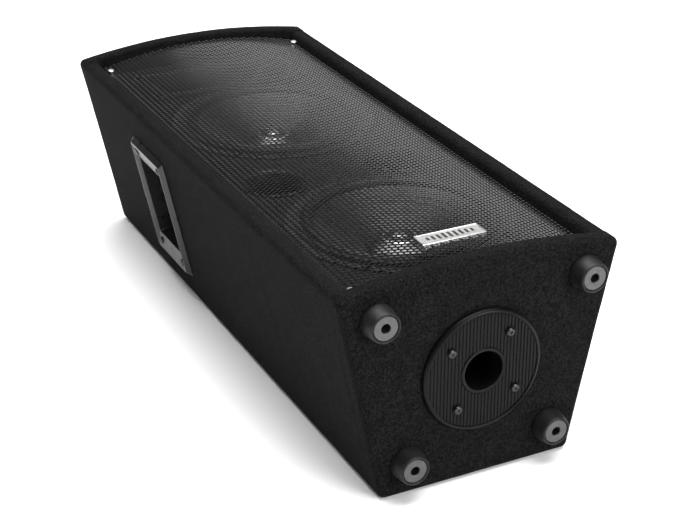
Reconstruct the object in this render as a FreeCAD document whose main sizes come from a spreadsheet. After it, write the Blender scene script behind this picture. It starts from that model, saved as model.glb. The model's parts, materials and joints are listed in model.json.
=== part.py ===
import FreeCAD, Part
import math
import os
import Sketcher

# A passive two-way PA speaker cabinet, lying on its back. X runs across it, +Y points to its top end,
# -Y to the bottom end with the feet and the pole socket, and +Z points out of the grille.
# The origin is on the surface that it lies on, under the middle of its bounding box.

os.makedirs("parts", exist_ok=True)
doc = FreeCAD.newDocument("pa_speaker_cabinet")

# ---------------------------------------------------------------- driving dimensions, in millimetres
size = {
    # shell: a tapered box whose end panels stand proud of the grille in a shallow arc
    "cabinet_length": 650,
    "front_width": 271,
    "back_width": 188.5,
    "side_depth": 200,
    "rim_rise": 13,
    "board": 14.5,
    "felt": 1.5,
    "baffle_front": 182,
    # rubber feet
    "foot_height": 16.5,
    "foot_base_radius": 15.6,
    "foot_face_radius": 13.3,
    "foot_insert_radius": 11,
    "foot_insert": 2,
    "foot_insert_depth": 0.8,
    "foot_hole_radius": 4.2,
    "foot_floor": 5,
    "foot_front_x": 99.4,
    "foot_front_z": 176.7,
    "foot_rear_x": 70,
    "foot_rear_z": 33.5,
    "foot_screw_length": 20,
    # pole socket
    "pole_height": 107,
    "pole_bore_radius": 18.25,
    "pole_cup_radius": 21,
    "pole_cup_depth": 75,
    "pole_cup_floor": 3,
    "pole_flange_radius": 57.5,
    "pole_flange": 4.8,
    "pole_screw_circle": 40,
    "pole_screw_turn": 7.4,
    "pole_screw_length": 18,
    # grille
    "grille_top": 206.5,
    "grille_radius": 446,
    "grille_sheet": 1.2,
    "grille_half_width": 114.5,
    "grille_length": 614,
    "grille_edge_z": 187,
    "grille_screw_x": 110,
    "grille_screw_near": 299,
    "grille_screw_far": 287,
    "grille_screw_length": 14,
    "batten_width": 7,
    "batten_height": 8,
    "batten_end_gap": 4,
    "badge_width": 61.5,
    "badge_height": 19,
    "badge_stand": 1.5,
    "badge_y": -266.7,
    "badge_sunk": 3,
    # eight-inch woofers, measured from their axis and from the baffle's front
    "woofer_upper_y": 99,
    "woofer_lower_y": -178,
    "woofer_radius": 103.5,
    "woofer_cutout_radius": 93,
    "woofer_flange": 2,
    "surround_radius": 84,
    "surround_roll": 6,
    "surround_sheet": 0.6,
    "cone_radius": 77.6,
    "cone_depth": 27,
    "cone_sheet": 0.8,
    "coil_radius": 19,
    "cap_radius": 30,
    "cap_rise": 9,
    "shelf_depth": 38,
    "spider_radius": 55,
    "basket_depth": 52,
    "basket_sheet": 2,
    "window_width": 34,
    "window_height": 18,
    "window_drop": 30,
    "gasket_height": 4,
    "gasket_radius": 95,
    "cap_seat": 6.4,
    "coil_wire": 1.2,
    "coil_former": 0.3,
    "coil_gap": 0.9,
    "spider_sheet": 0.8,
    "magnet_plate_radius": 50,
    "magnet_plate": 6,
    "magnet_radius": 60,
    "magnet_height": 16,
    "magnet_bore_radius": 27,
    "vent_radius": 5,
    "woofer_screw_circle": 99.2,
    "woofer_screw_length": 14,
    # horn tweeter
    "horn_y": 242,
    "horn_width": 180,
    "horn_height": 76,
    "horn_flange": 4,
    "horn_mouth_width": 152,
    "horn_mouth_height": 54,
    "horn_throat": 25,
    "horn_depth": 75,
    "horn_wall": 2.5,
    "driver_radius": 40,
    "driver_height": 40,
    "driver_neck": 10,
    "driver_dome": 8,
    "horn_screw_length": 15,
    "horn_screw_x": 83,
    "horn_screw_y": 32.5,
    "horn_cutout_gap": 4,
    # reflex ports
    "port_x": 66,
    "port_y": -52,
    "port_radius": 25,
    "port_wall": 2,
    "port_length": 90,
    "port_flange_radius": 31,
    "port_flange": 2.5,
    "port_flange_edge": 1,
    # bar handles, on the slanted sides; up is measured along the side from the back
    "handle_y": 128,
    "handle_up": 100,
    "handle_width": 86,
    "handle_length": 135,
    "handle_lip_width": 80,
    "handle_lip_length": 126,
    "handle_rise": 5.3,
    "handle_rim_rise": 1.7,
    "handle_mouth_width": 70,
    "handle_mouth_length": 91,
    "handle_depth": 34,
    "handle_wall": 2.5,
    "handle_screw_y": 30,
    "handle_screw_up": 54.5,
    "handle_screw_seat": 3,
    "handle_screw_length": 18,
    "handle_lip": 1.5,
    # recessed connector plate in the back
    "plate_y": -60,
    "plate_width": 124,
    "plate_height": 84,
    "plate_flange": 1.5,
    "dish_width": 100,
    "dish_height": 60,
    "dish_depth": 34,
    "dish_wall": 2.5,
    "jack_x": 24,
    "jack_radius": 3.2,
    "jack_depth": 30,
    "jack_body_radius": 8,
    "jack_bush": 1.2,
    "jack_nut_radius": 7.2,
    "jack_nut": 3,
    "plate_screw_x": 57,
    "plate_screw_y": 37,
    "plate_screw_length": 12,
    "plate_screw_proud": 1,
    # crossover
    "crossover_y": 105,
    "crossover_width": 110,
    "crossover_height": 80,
    "crossover_board": 1.6,
    "crossover_stand": 6,
    "spacer_radius": 4,
    "spacer_x": 49,
    "spacer_y": 34,
    "inductor_bore": 7,
    "inductor_radius": 17,
    "inductor_height": 18,
    "inductor_left_x": -30,
    "inductor_right_x": 8,
    "inductor_y": 14,
    "capacitor_radius": 6,
    "capacitor_length": 30,
    "capacitor_pitch": 32,
    "capacitor_first_x": -45,
    "capacitor_y": 20,
    # fasteners
    "screw_head": 3.9,
    "screw_head_height": 2.4,
    "screw_shank": 1.9,
    "screw_tip": 3,
    "screw_gap": 0.4,
}

dims = doc.addObject("Spreadsheet::Sheet", "dims")
for row, (alias, value) in enumerate(size.items(), 1):
    dims.set(f"A{row}", alias)
    dims.set(f"B{row}", str(value))
    dims.setAlias(f"B{row}", alias)
doc.recompute()

slant = "((dims.front_width - dims.back_width) / 2 / dims.side_depth)"
slant_angle = math.degrees(math.atan((size["front_width"] - size["back_width"]) / 2 / size["side_depth"]))
middle = "(dims.foot_height / 2)"
floor_inside = "(dims.felt + dims.board)"
rim_radius = "((dims.front_width^2 / 4 + dims.rim_rise^2) / (2 * dims.rim_rise))"
rim_centre = f"(dims.side_depth + dims.rim_rise - {rim_radius})"
end_inset = "(dims.felt + dims.board)"
overcut = "100"

nodes = {}


# ---------------------------------------------------------------- building blocks
def wall(z, inset):
    """Half width of the shell at height z, inset millimetres in from the outer felt."""
    return f"(dims.back_width / 2 + ({z}) * {slant} - ({inset}) * sqrt(1 + {slant}^2))"


def bind(part, **expressions):
    for name, text in expressions.items():
        part.setExpression(name, text)
    return part


def place(part, x="0", y="0", z="0", turn=None):
    """Put a part at x, y, z, turned by an optional FreeCAD rotation."""
    part.Placement = FreeCAD.Placement(FreeCAD.Vector(), turn or FreeCAD.Rotation())
    for axis, text in zip("xyz", (x, y, z)):
        part.setExpression(f"Placement.Base.{axis}", text)
    return part


def box(x, y, z, at):
    """A box of the given sizes, centred on at in X and Y and standing on at in Z."""
    part = bind(doc.addObject("Part::Box", "box"), Length=x, Width=y, Height=z)
    return place(part, f"({at[0]}) - ({x}) / 2", f"({at[1]}) - ({y}) / 2", at[2])


def cylinder(radius, height, at, turn=None):
    part = bind(doc.addObject("Part::Cylinder", "cylinder"), Radius=radius, Height=height)
    return place(part, *at, turn=turn)


def frustum(low, high, height, at):
    """A four-sided frustum: low and high are its (x, y) sizes at the bottom and at the top."""
    part = doc.addObject("Part::Wedge", "frustum")
    for axis, index in (("X", 0), ("Z", 1)):
        part.setExpression(f"{axis}min", f"-({low[index]}) / 2")
        part.setExpression(f"{axis}max", f"({low[index]}) / 2")
        part.setExpression(f"{axis}2min", f"-({high[index]}) / 2")
        part.setExpression(f"{axis}2max", f"({high[index]}) / 2")
    bind(part, Ymin="0", Ymax=height)
    return place(part, *at, turn=FreeCAD.Rotation(FreeCAD.Vector(1, 0, 0), 90))


def cut(base, *tools):
    for tool in tools:
        part = doc.addObject("Part::Cut", "cut")
        part.Base = base
        part.Tool = tool
        base = part
    return base


def common(base, tool):
    part = doc.addObject("Part::Common", "common")
    part.Base = base
    part.Tool = tool
    return part


def fuse(*shapes):
    part = doc.addObject("Part::MultiFuse", "fuse")
    part.Shapes = list(shapes)
    return part


def group(*links):
    part = doc.addObject("Part::Compound", "group")
    part.Links = list(links)
    return part


def sketch_of(body, plane, corners):
    """A closed outline on one of the body's own planes, each corner bound to the sheet."""
    sketch = body.newObject("Sketcher::SketchObject", "outline")
    support = next(item for item in body.Origin.OriginFeatures if item.Role == plane)
    sketch.AttachmentSupport = (support, [""])
    sketch.MapMode = "FlatFace"
    count = len(corners)
    spots = []
    for index in range(count):
        angle = 2 * math.pi * index / count
        spots.append(FreeCAD.Vector(100 + 50 * math.cos(angle), 50 * math.sin(angle), 0))
    for index in range(count):
        sketch.addGeometry(Part.LineSegment(spots[index], spots[(index + 1) % count]))
    for index in range(count):
        sketch.addConstraint(Sketcher.Constraint("Coincident", index, 2, (index + 1) % count, 1))
    for index, (across, up) in enumerate(corners):
        for kind, text, axis, start in (
            ("DistanceX", across, -2, spots[index].x),
            ("DistanceY", up, -1, spots[index].y),
        ):
            if text == "0":
                sketch.addConstraint(Sketcher.Constraint("PointOnObject", index, 1, axis))
                continue
            number = sketch.addConstraint(Sketcher.Constraint(kind, index, 1, start))
            sketch.setExpression(f"Constraints[{number}]", text)
    return sketch


def prism(corners, length):
    """An outline in X and Z, padded equally both ways along Y."""
    body = doc.addObject("PartDesign::Body", "prism")
    sketch = sketch_of(body, "XZ_Plane", corners)
    pad = body.newObject("PartDesign::Pad", "pad")
    pad.Profile = sketch
    pad.Midplane = True
    pad.setExpression("Length", length)
    return body


def turned(corners):
    """An outline of (radius, height) corners, turned about Z."""
    body = doc.addObject("PartDesign::Body", "turned")
    sketch = sketch_of(body, "XZ_Plane", corners)
    revolution = body.newObject("PartDesign::Revolution", "revolution")
    revolution.Profile = sketch
    revolution.ReferenceAxis = (sketch, ["V_Axis"])
    revolution.Angle = 360
    return body


def ring(inner, outer, low, high):
    return turned([(inner, low), (outer, low), (outer, high), (inner, high)])


def node(label, part):
    part.Label = label
    nodes[label] = part
    return part


def drive(screws, *panels):
    """Drive screws into panels: each screw cuts its own hole, which is exactly its shape."""
    for label in panels:
        panel = nodes[label]
        panel.Label = f"{label}_blank"
        node(label, cut(panel, screws))


def screw(length, at, turn=None):
    """A round-headed screw: its head stands on at, and its shank goes down from there."""
    tip_height = f"-({length}) + dims.screw_tip"
    profile = turned([
        ("0", f"-({length})"),
        ("dims.screw_shank * 0.4", f"-({length})"),
        ("dims.screw_shank", tip_height),
        ("dims.screw_shank", "0"),
        ("dims.screw_head", "0"),
        ("dims.screw_head", "dims.screw_head_height * 0.4"),
        ("dims.screw_head * 0.6", "dims.screw_head_height"),
        ("0", "dims.screw_head_height"),
    ])
    return place(profile, *at, turn=turn)


def hole(radius, at, depth="40"):
    """A drill for a round hole along Z, through at and the same depth both ways."""
    return cylinder(radius, f"2 * ({depth})", (at[0], at[1], f"({at[2]}) - ({depth})"))


clearance = "dims.screw_shank + dims.screw_gap"
to_bottom = FreeCAD.Rotation(FreeCAD.Vector(1, 0, 0), 90)
to_back = FreeCAD.Rotation(FreeCAD.Vector(1, 0, 0), 180)


# ---------------------------------------------------------------- wooden shell
def end_solid(inset, thickness):
    """An end panel's slab: the tapered outline under the rim's arc, lowered by inset."""
    top = "(dims.side_depth + 2 * dims.rim_rise)"
    outline = [
        (f"-{wall('dims.felt', 'dims.felt')}", "dims.felt"),
        (wall("dims.felt", "dims.felt"), "dims.felt"),
        (wall(top, "dims.felt"), top),
        (f"-{wall(top, 'dims.felt')}", top),
    ]
    arc = cylinder(f"{rim_radius} - ({inset})", overcut, ("0", f"{overcut} / 2", rim_centre), to_bottom)
    return common(prism(outline, thickness), arc)


def pole_drill():
    at = ("0", f"{overcut} / 2", "dims.pole_height")
    return cylinder("dims.pole_cup_radius + dims.screw_gap", overcut, at, to_bottom)


def foot_spots():
    spots = []
    for height, reach in (("front", "dims.foot_front"), ("rear", "dims.foot_rear")):
        for side, sign in (("left", "-"), ("right", "")):
            spots.append((f"{height}_{side}", f"{sign}{reach}_x", f"{reach}_z"))
    return spots


def end_y(sign, inset):
    return f"{middle} {sign} (dims.cabinet_length / 2 - ({inset}))"


def build_ends():
    for name, sign in (("top", "+"), ("bottom", "-")):
        panel = end_solid("dims.felt", "dims.board")
        skin = cut(end_solid("0", end_inset), end_solid("dims.felt", f"2 * {end_inset}"))
        face = end_solid("dims.felt", "dims.felt")
        lip = common(end_solid("0", "dims.felt"), box(
            f"2 * {wall('dims.grille_edge_z', '2 * dims.felt + dims.board')}", overcut, overcut,
            ("0", "0", "dims.grille_edge_z")))
        place(face, "0", f"({sign}1) * dims.board / 2")
        place(lip, "0", f"({sign}1) * (-dims.board / 2 - dims.felt)")
        cover = fuse(skin, face, lip)
        if name == "bottom":
            panel = cut(panel, pole_drill())
            cover = cut(cover, pole_drill())
        place(panel, "0", end_y(sign, "dims.felt + dims.board / 2"))
        place(cover, "0", end_y(sign, f"{end_inset} / 2"))
        node(f"{name}_panel", panel)
        node(f"carpet_{name}", cover)


def side_band(low, high, near, far):
    """The slanted strip between two heights and two depths in from the outer felt, on the right."""
    return [(wall(low, far), low), (wall(low, near), low), (wall(high, near), high), (wall(high, far), high)]


def side_turn(sign):
    """The side's own frame: X out of it, Y along the cabinet and Z up the slant."""
    tilt = FreeCAD.Rotation(FreeCAD.Vector(0, 1, 0), sign * slant_angle)
    if sign > 0:
        return tilt
    return tilt.multiply(FreeCAD.Rotation(FreeCAD.Vector(0, 0, 1), 180))


def on_side(part, sign):
    """Place a part built about the handle's middle on the side's outer felt."""
    lean = f"sqrt(1 + {slant}^2)"
    x = f"({sign}) * (dims.back_width / 2 + dims.handle_up * {slant} / {lean})"
    return place(part, x, f"{middle} + dims.handle_y", f"dims.handle_up / {lean}", side_turn(sign))


def handle_slot(grow):
    """The hole in the side for the handle's dish."""
    width = f"(dims.handle_mouth_width + 2 * dims.handle_wall + 2 * {grow})"
    length = f"(dims.handle_mouth_length + 2 * dims.handle_wall + 2 * {grow})"
    return group(box(overcut, width, length, ("0", "0", f"-{length} / 2")))


def build_sides():
    inner_length = f"dims.cabinet_length - 2 * {end_inset}"
    rim_width = "2 * dims.felt + dims.board"
    for name, sign in (("left", -1), ("right", 1)):
        flip = FreeCAD.Rotation(FreeCAD.Vector(0, 0, 1), 0 if sign > 0 else 180)
        band = side_band("dims.felt", "dims.side_depth - dims.felt", "dims.felt", "dims.felt + dims.board")
        panel = place(prism(band, inner_length), "0", middle, turn=flip)
        node(f"side_panel_{name}", cut(panel, on_side(handle_slot("dims.screw_gap"), sign)))
        skin = prism(side_band("0", "dims.side_depth", "0", "dims.felt"), "dims.cabinet_length")
        lip = prism([
            (wall("dims.side_depth - dims.felt", "dims.felt"), "dims.side_depth - dims.felt"),
            (wall("dims.side_depth", "dims.felt"), "dims.side_depth"),
            (wall("dims.side_depth", rim_width), "dims.side_depth"),
            (wall("dims.grille_edge_z", rim_width), "dims.grille_edge_z"),
            (wall("dims.grille_edge_z", end_inset), "dims.grille_edge_z"),
            (wall("dims.side_depth - dims.felt", end_inset), "dims.side_depth - dims.felt"),
        ], inner_length)
        cover = place(fuse(skin, lip), "0", middle, turn=flip)
        node(f"carpet_{name}", cut(cover, on_side(handle_slot("dims.screw_gap"), sign)))


def plate_spot(z):
    return ("0", f"{middle} + dims.plate_y", z)


def build_back():
    low = "dims.felt"
    high = floor_inside
    inset = "dims.felt + dims.board"
    outline = [
        (f"-{wall(low, inset)}", low),
        (wall(low, inset), low),
        (wall(high, inset), high),
        (f"-{wall(high, inset)}", high),
    ]
    panel = place(prism(outline, f"dims.cabinet_length - 2 * {end_inset}"), "0", middle)
    gap = "2 * (dims.dish_wall + dims.screw_gap)"
    dish = box(f"dims.dish_width + {gap}", f"dims.dish_height + {gap}", overcut, plate_spot(f"-{overcut} / 2"))
    node("back_panel", cut(panel, dish))
    skin_outline = [
        (f"-{wall('0', 'dims.felt')}", "0"),
        (wall("0", "dims.felt"), "0"),
        (wall("dims.felt", "dims.felt"), "dims.felt"),
        (f"-{wall('dims.felt', 'dims.felt')}", "dims.felt"),
    ]
    skin = place(prism(skin_outline, "dims.cabinet_length"), "0", middle)
    plate = box("dims.plate_width + 2 * dims.screw_gap", "dims.plate_height + 2 * dims.screw_gap", overcut,
                plate_spot(f"-{overcut} / 2"))
    node("carpet_back", cut(skin, plate))


def build_baffle():
    low = "dims.baffle_front - dims.board"
    high = "dims.baffle_front"
    inset = "dims.felt + dims.board"
    outline = [
        (f"-{wall(low, inset)}", low),
        (wall(low, inset), low),
        (wall(high, inset), high),
        (f"-{wall(high, inset)}", high),
    ]
    panel = place(prism(outline, f"dims.cabinet_length - 2 * {end_inset}"), "0", middle)
    drills = []
    for spot in ("upper", "lower"):
        at = ("0", f"{middle} + dims.woofer_{spot}_y", "dims.baffle_front")
        drills.append(hole("dims.woofer_cutout_radius", at))
    for sign in ("-", ""):
        at = (f"{sign}dims.port_x", f"{middle} + dims.port_y", "dims.baffle_front")
        drills.append(hole("dims.port_radius + dims.port_wall + dims.screw_gap", at))
    drills.append(box("dims.horn_mouth_width + 2 * dims.horn_cutout_gap",
                      "dims.horn_mouth_height + 2 * dims.horn_cutout_gap", overcut,
                      ("0", f"{middle} + dims.horn_y", f"dims.baffle_front - {overcut} / 2")))
    node("front_baffle", cut(panel, *drills))


def build_battens():
    """Two strips beside the drivers carry the grille's screws."""
    x = "(dims.grille_half_width - dims.grille_sheet - dims.screw_gap - dims.batten_width / 2)"
    length = f"dims.cabinet_length - 2 * ({end_inset} + dims.batten_end_gap)"
    strips = []
    for sign in ("-", ""):
        at = (f"{sign}{x}", middle, "dims.baffle_front")
        strips.append(box("dims.batten_width", length, "dims.batten_height", at))
    node("grille_battens", group(*strips))


# ---------------------------------------------------------------- grille, its screws and its badge
def grille_screw_spots():
    spots = []
    for sign in ("-", ""):
        for along in ("- dims.grille_screw_near", "+ dims.grille_screw_far"):
            spots.append((f"{sign}dims.grille_screw_x", f"{middle} {along}"))
    return spots


def build_grille():
    centre = "dims.grille_top - dims.grille_radius"
    span = "dims.grille_length"
    half = f"{middle} + dims.grille_length / 2"
    outer = cylinder("dims.grille_radius", span, ("0", half, centre), to_bottom)
    inner = cylinder("dims.grille_radius - dims.grille_sheet", f"{span} + 2 * dims.grille_sheet",
                     ("0", f"{half} + dims.grille_sheet", centre), to_bottom)
    slab = box("2 * dims.grille_half_width", span, overcut, ("0", middle, f"dims.grille_top - {overcut} / 2"))
    sheet = common(cut(outer, inner), slab)
    edge = "(dims.grille_radius - sqrt(dims.grille_radius^2 - dims.grille_half_width^2))"
    drop = f"dims.grille_top - {edge} - dims.grille_edge_z"
    folds = []
    for sign in ("-", ""):
        folds.append(box("dims.grille_sheet", span, drop, (
            f"{sign}(dims.grille_half_width - dims.grille_sheet / 2)", middle, "dims.grille_edge_z")))
    drills = [hole(clearance, (x, y, "dims.grille_top")) for x, y in grille_screw_spots()]
    node("grille", cut(fuse(sheet, *folds), *drills))
    # a head rests on the sheet where the curve is highest under it
    inner_edge = "(dims.grille_screw_x - dims.screw_head)"
    seat = f"{centre} + sqrt(dims.grille_radius^2 - {inner_edge}^2) + dims.screw_gap / 4"
    screws = [screw("dims.grille_screw_length", (x, y, seat)) for x, y in grille_screw_spots()]
    drive(node("grille_screws", group(*screws)), "grille_battens", "front_baffle")
    plate = box("dims.badge_width", "dims.badge_height", "dims.badge_stand + dims.badge_sunk",
                ("0", f"{middle} + dims.badge_y", "dims.grille_top - dims.badge_sunk"))
    seat_cylinder = cylinder("dims.grille_radius", span, ("0", half, centre), to_bottom)
    node("badge", cut(plate, seat_cylinder))


# ---------------------------------------------------------------- woofers
def half_roll():
    """The surround: a half-round roll with a flat lip each side, turned about Z."""
    body = doc.addObject("PartDesign::Body", "roll")
    sketch = body.newObject("Sketcher::SketchObject", "roll_outline")
    support = next(item for item in body.Origin.OriginFeatures if item.Role == "XZ_Plane")
    sketch.AttachmentSupport = (support, [""])
    sketch.MapMode = "FlatFace"
    centre = FreeCAD.Vector(size["surround_radius"], size["woofer_flange"], 0)
    outer = size["surround_roll"]
    inner = outer - size["surround_sheet"]
    normal = FreeCAD.Vector(0, 0, 1)
    for radius in (outer, inner):
        sketch.addGeometry(Part.ArcOfCircle(Part.Circle(centre, normal, radius), 0, math.pi))
    for side in (1, -1):
        start = centre + FreeCAD.Vector(side * inner, 0, 0)
        end = centre + FreeCAD.Vector(side * outer, 0, 0)
        sketch.addGeometry(Part.LineSegment(start, end))
    for arc, radius in ((0, "dims.surround_roll"), (1, "dims.surround_roll - dims.surround_sheet")):
        for kind, value, text in (
            ("DistanceX", centre.x, "dims.surround_radius"),
            ("DistanceY", centre.y, "dims.woofer_flange"),
        ):
            number = sketch.addConstraint(Sketcher.Constraint(kind, arc, 3, value))
            sketch.setExpression(f"Constraints[{number}]", text)
        number = sketch.addConstraint(Sketcher.Constraint("Radius", arc, (outer, inner)[arc]))
        sketch.setExpression(f"Constraints[{number}]", radius)
    for line, corner in ((2, 1), (3, 2)):
        sketch.addConstraint(Sketcher.Constraint("Coincident", 1, corner, line, 1))
        sketch.addConstraint(Sketcher.Constraint("Coincident", 0, corner, line, 2))
        sketch.addConstraint(Sketcher.Constraint("Horizontal", line))
        sketch.addConstraint(Sketcher.Constraint("Horizontal", line, 1, 0, 3))
    revolution = body.newObject("PartDesign::Revolution", "revolution")
    revolution.Profile = sketch
    revolution.ReferenceAxis = (sketch, ["V_Axis"])
    revolution.Angle = 360
    return body


def basket():
    seat = "dims.basket_depth"
    shelf = "dims.shelf_depth"
    shell = turned([
        ("dims.coil_radius + 3", f"-{seat}"),
        ("dims.magnet_plate_radius + 4", f"-{seat}"),
        ("dims.spider_radius + 9", f"-{shelf} - dims.basket_sheet"),
        ("dims.surround_radius + 8", "-dims.basket_sheet"),
        ("dims.surround_radius + 8", "0"),
        ("dims.woofer_radius", "0"),
        ("dims.woofer_radius", "dims.woofer_flange"),
        ("dims.surround_radius + 4.5", "dims.woofer_flange"),
        ("dims.surround_radius + 4.5", "-1"),
        ("dims.spider_radius + 6", f"-{shelf}"),
        ("dims.spider_radius - 4", f"-{shelf}"),
        ("dims.spider_radius - 4", f"-{shelf} - dims.basket_sheet"),
        ("dims.spider_radius + 4", f"-{shelf} - dims.basket_sheet"),
        ("dims.magnet_plate_radius + 2", f"-{seat} + dims.basket_sheet"),
        ("dims.coil_radius + 3", f"-{seat} + dims.basket_sheet"),
    ])
    windows = []
    for index in range(3):
        at = ("0", "0", "-dims.window_drop")
        window = box("3 * dims.woofer_radius", "dims.window_width", "dims.window_height", at)
        turn = FreeCAD.Rotation(FreeCAD.Vector(0, 0, 1), 60 * index)
        windows.append(place(group(window), turn=turn))
    drills = []
    for x, y in woofer_screw_offsets():
        drills.append(hole(clearance, (x, y, "0"), "3 * dims.basket_sheet"))
    return cut(shell, *windows, *drills)


def woofer_screw_offsets():
    spots = []
    for quarter in range(4):
        angle = math.radians(45 + 90 * quarter)
        spots.append((f"dims.woofer_screw_circle * {math.cos(angle)}",
                      f"dims.woofer_screw_circle * {math.sin(angle)}"))
    return spots


def dust_cap():
    """A shallow dome, a slice of a spherical shell."""
    radius = "((dims.cap_radius^2 + dims.cap_rise^2) / (2 * dims.cap_rise))"
    low = "(-dims.cone_depth + dims.cap_seat)"
    centre = f"{low} + dims.cap_rise - {radius}"
    outer = place(bind(doc.addObject("Part::Sphere", "sphere"), Radius=radius), z=centre)
    inner = place(bind(doc.addObject("Part::Sphere", "sphere"), Radius=f"{radius} - dims.cone_sheet"), z=centre)
    slab = box(overcut, overcut, overcut, ("0", "0", low))
    return common(cut(outer, inner), slab)


def build_woofers():
    seat = "dims.basket_depth"
    plate = "dims.magnet_plate"
    magnet_top = f"(-{seat} - {plate})"
    magnet_low = f"({magnet_top} - dims.magnet_height)"
    screws = []
    for spot in ("upper", "lower"):
        pieces = {
            "basket": basket(),
            "surround": half_roll(),
            "gasket": ring("dims.surround_radius + dims.surround_roll + dims.screw_gap", "dims.gasket_radius",
                           "dims.woofer_flange", "dims.woofer_flange + dims.gasket_height"),
            "cone": turned([
                ("dims.coil_radius + dims.coil_former", "-dims.cone_depth"),
                ("dims.cone_radius", "dims.woofer_flange - dims.cone_sheet"),
                ("dims.cone_radius", "dims.woofer_flange"),
                ("dims.cone_radius - 1", "dims.woofer_flange"),
                ("dims.coil_radius + dims.coil_former", "-dims.cone_depth + dims.cone_sheet"),
            ]),
            "dust_cap": dust_cap(),
            "voice_coil": turned([
                ("dims.coil_radius", f"-{seat} - {plate} - 2"),
                ("dims.coil_radius + dims.coil_wire", f"-{seat} - {plate} - 2"),
                ("dims.coil_radius + dims.coil_wire", f"-{seat} + 4"),
                ("dims.coil_radius + dims.coil_former", f"-{seat} + 4"),
                ("dims.coil_radius + dims.coil_former", "-dims.cone_depth + 3"),
                ("dims.coil_radius", "-dims.cone_depth + 3"),
            ]),
            "spider": ring("dims.coil_radius + 2 * dims.coil_former", "dims.spider_radius", "-dims.shelf_depth",
                           "-dims.shelf_depth + dims.spider_sheet"),
            "top_plate": ring("dims.coil_radius + dims.coil_wire + dims.coil_gap", "dims.magnet_plate_radius",
                              magnet_top, f"-{seat}"),
            "magnet": ring("dims.magnet_bore_radius", "dims.magnet_radius", magnet_low, magnet_top),
            "pole_piece": turned([
                ("dims.vent_radius", f"{magnet_low} - {plate}"),
                ("dims.magnet_plate_radius", f"{magnet_low} - {plate}"),
                ("dims.magnet_plate_radius", magnet_low),
                ("dims.coil_radius - dims.coil_gap", magnet_low),
                ("dims.coil_radius - dims.coil_gap", f"-{seat}"),
                ("dims.vent_radius", f"-{seat}"),
            ]),
        }
        centre = f"{middle} + dims.woofer_{spot}_y"
        for name, part in pieces.items():
            node(f"{spot}_{name}", place(part, "0", centre, "dims.baffle_front"))
        for x, y in woofer_screw_offsets():
            at = (x, f"{centre} + {y}", "dims.baffle_front + dims.woofer_flange")
            screws.append(screw("dims.woofer_screw_length", at))
    drive(node("woofer_screws", group(*screws)), "front_baffle")


# ---------------------------------------------------------------- horn tweeter and ports
def horn_screw_offsets():
    spots = []
    for across in ("-dims.horn_screw_x", "0", "dims.horn_screw_x"):
        for up in ("-dims.horn_screw_y", "dims.horn_screw_y"):
            spots.append((across, up))
    return spots


def build_horn():
    y = f"{middle} + dims.horn_y"
    mouth = ("dims.horn_mouth_width", "dims.horn_mouth_height")
    throat = ("dims.horn_throat", "dims.horn_throat")
    outer = frustum([f"{side} + 2 * dims.horn_wall" for side in throat],
                    [f"{side} + 2 * dims.horn_wall" for side in mouth], "dims.horn_depth",
                    ("0", "0", "-dims.horn_depth"))
    inner = frustum(throat, mouth, "dims.horn_depth + dims.horn_flange", ("0", "0", "-dims.horn_depth"))
    flange = box("dims.horn_width", "dims.horn_height", "dims.horn_flange", ("0", "0", "0"))
    drills = [hole(clearance, (x, up, "0"), "2 * dims.horn_flange") for x, up in horn_screw_offsets()]
    node("horn", place(cut(fuse(outer, flange), inner, *drills), "0", y, "dims.baffle_front"))
    driver = turned([
        ("0", "-dims.horn_depth - dims.driver_height"),
        ("dims.driver_radius", "-dims.horn_depth - dims.driver_height"),
        ("dims.driver_radius", "-dims.horn_depth - dims.driver_neck"),
        ("dims.driver_radius - dims.driver_neck", "-dims.horn_depth - dims.driver_neck"),
        ("dims.driver_radius - dims.driver_neck", "-dims.horn_depth"),
        ("dims.horn_throat / 2", "-dims.horn_depth"),
        ("dims.horn_throat / 2", "-dims.horn_depth - dims.driver_dome"),
        ("0", "-dims.horn_depth - dims.driver_dome * 3 / 4"),
    ])
    node("horn_driver", place(driver, "0", y, "dims.baffle_front"))
    screws = [screw("dims.horn_screw_length", (x, up, "dims.horn_flange")) for x, up in horn_screw_offsets()]
    drive(node("horn_screws", place(group(*screws), "0", y, "dims.baffle_front")), "front_baffle")


def build_ports():
    for name, sign in (("left", "-"), ("right", "")):
        tube = turned([
            ("dims.port_radius", "dims.port_flange"),
            ("dims.port_radius", "-dims.port_length"),
            ("dims.port_radius + dims.port_wall", "-dims.port_length"),
            ("dims.port_radius + dims.port_wall", "0"),
            ("dims.port_flange_radius", "0"),
            ("dims.port_flange_radius", "dims.port_flange_edge"),
            ("dims.port_flange_radius - 1.5", "dims.port_flange"),
        ])
        node(f"port_tube_{name}", place(tube, f"{sign}dims.port_x", f"{middle} + dims.port_y",
                                        "dims.baffle_front"))


# ---------------------------------------------------------------- bottom end: pole socket and feet
def pole_screw_offsets():
    spots = []
    for quarter in range(4):
        angle = math.radians(45 + 90 * quarter + size["pole_screw_turn"])
        spots.append((f"dims.pole_screw_circle * {math.cos(angle)}",
                      f"dims.pole_screw_circle * {math.sin(angle)}"))
    return spots


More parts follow.
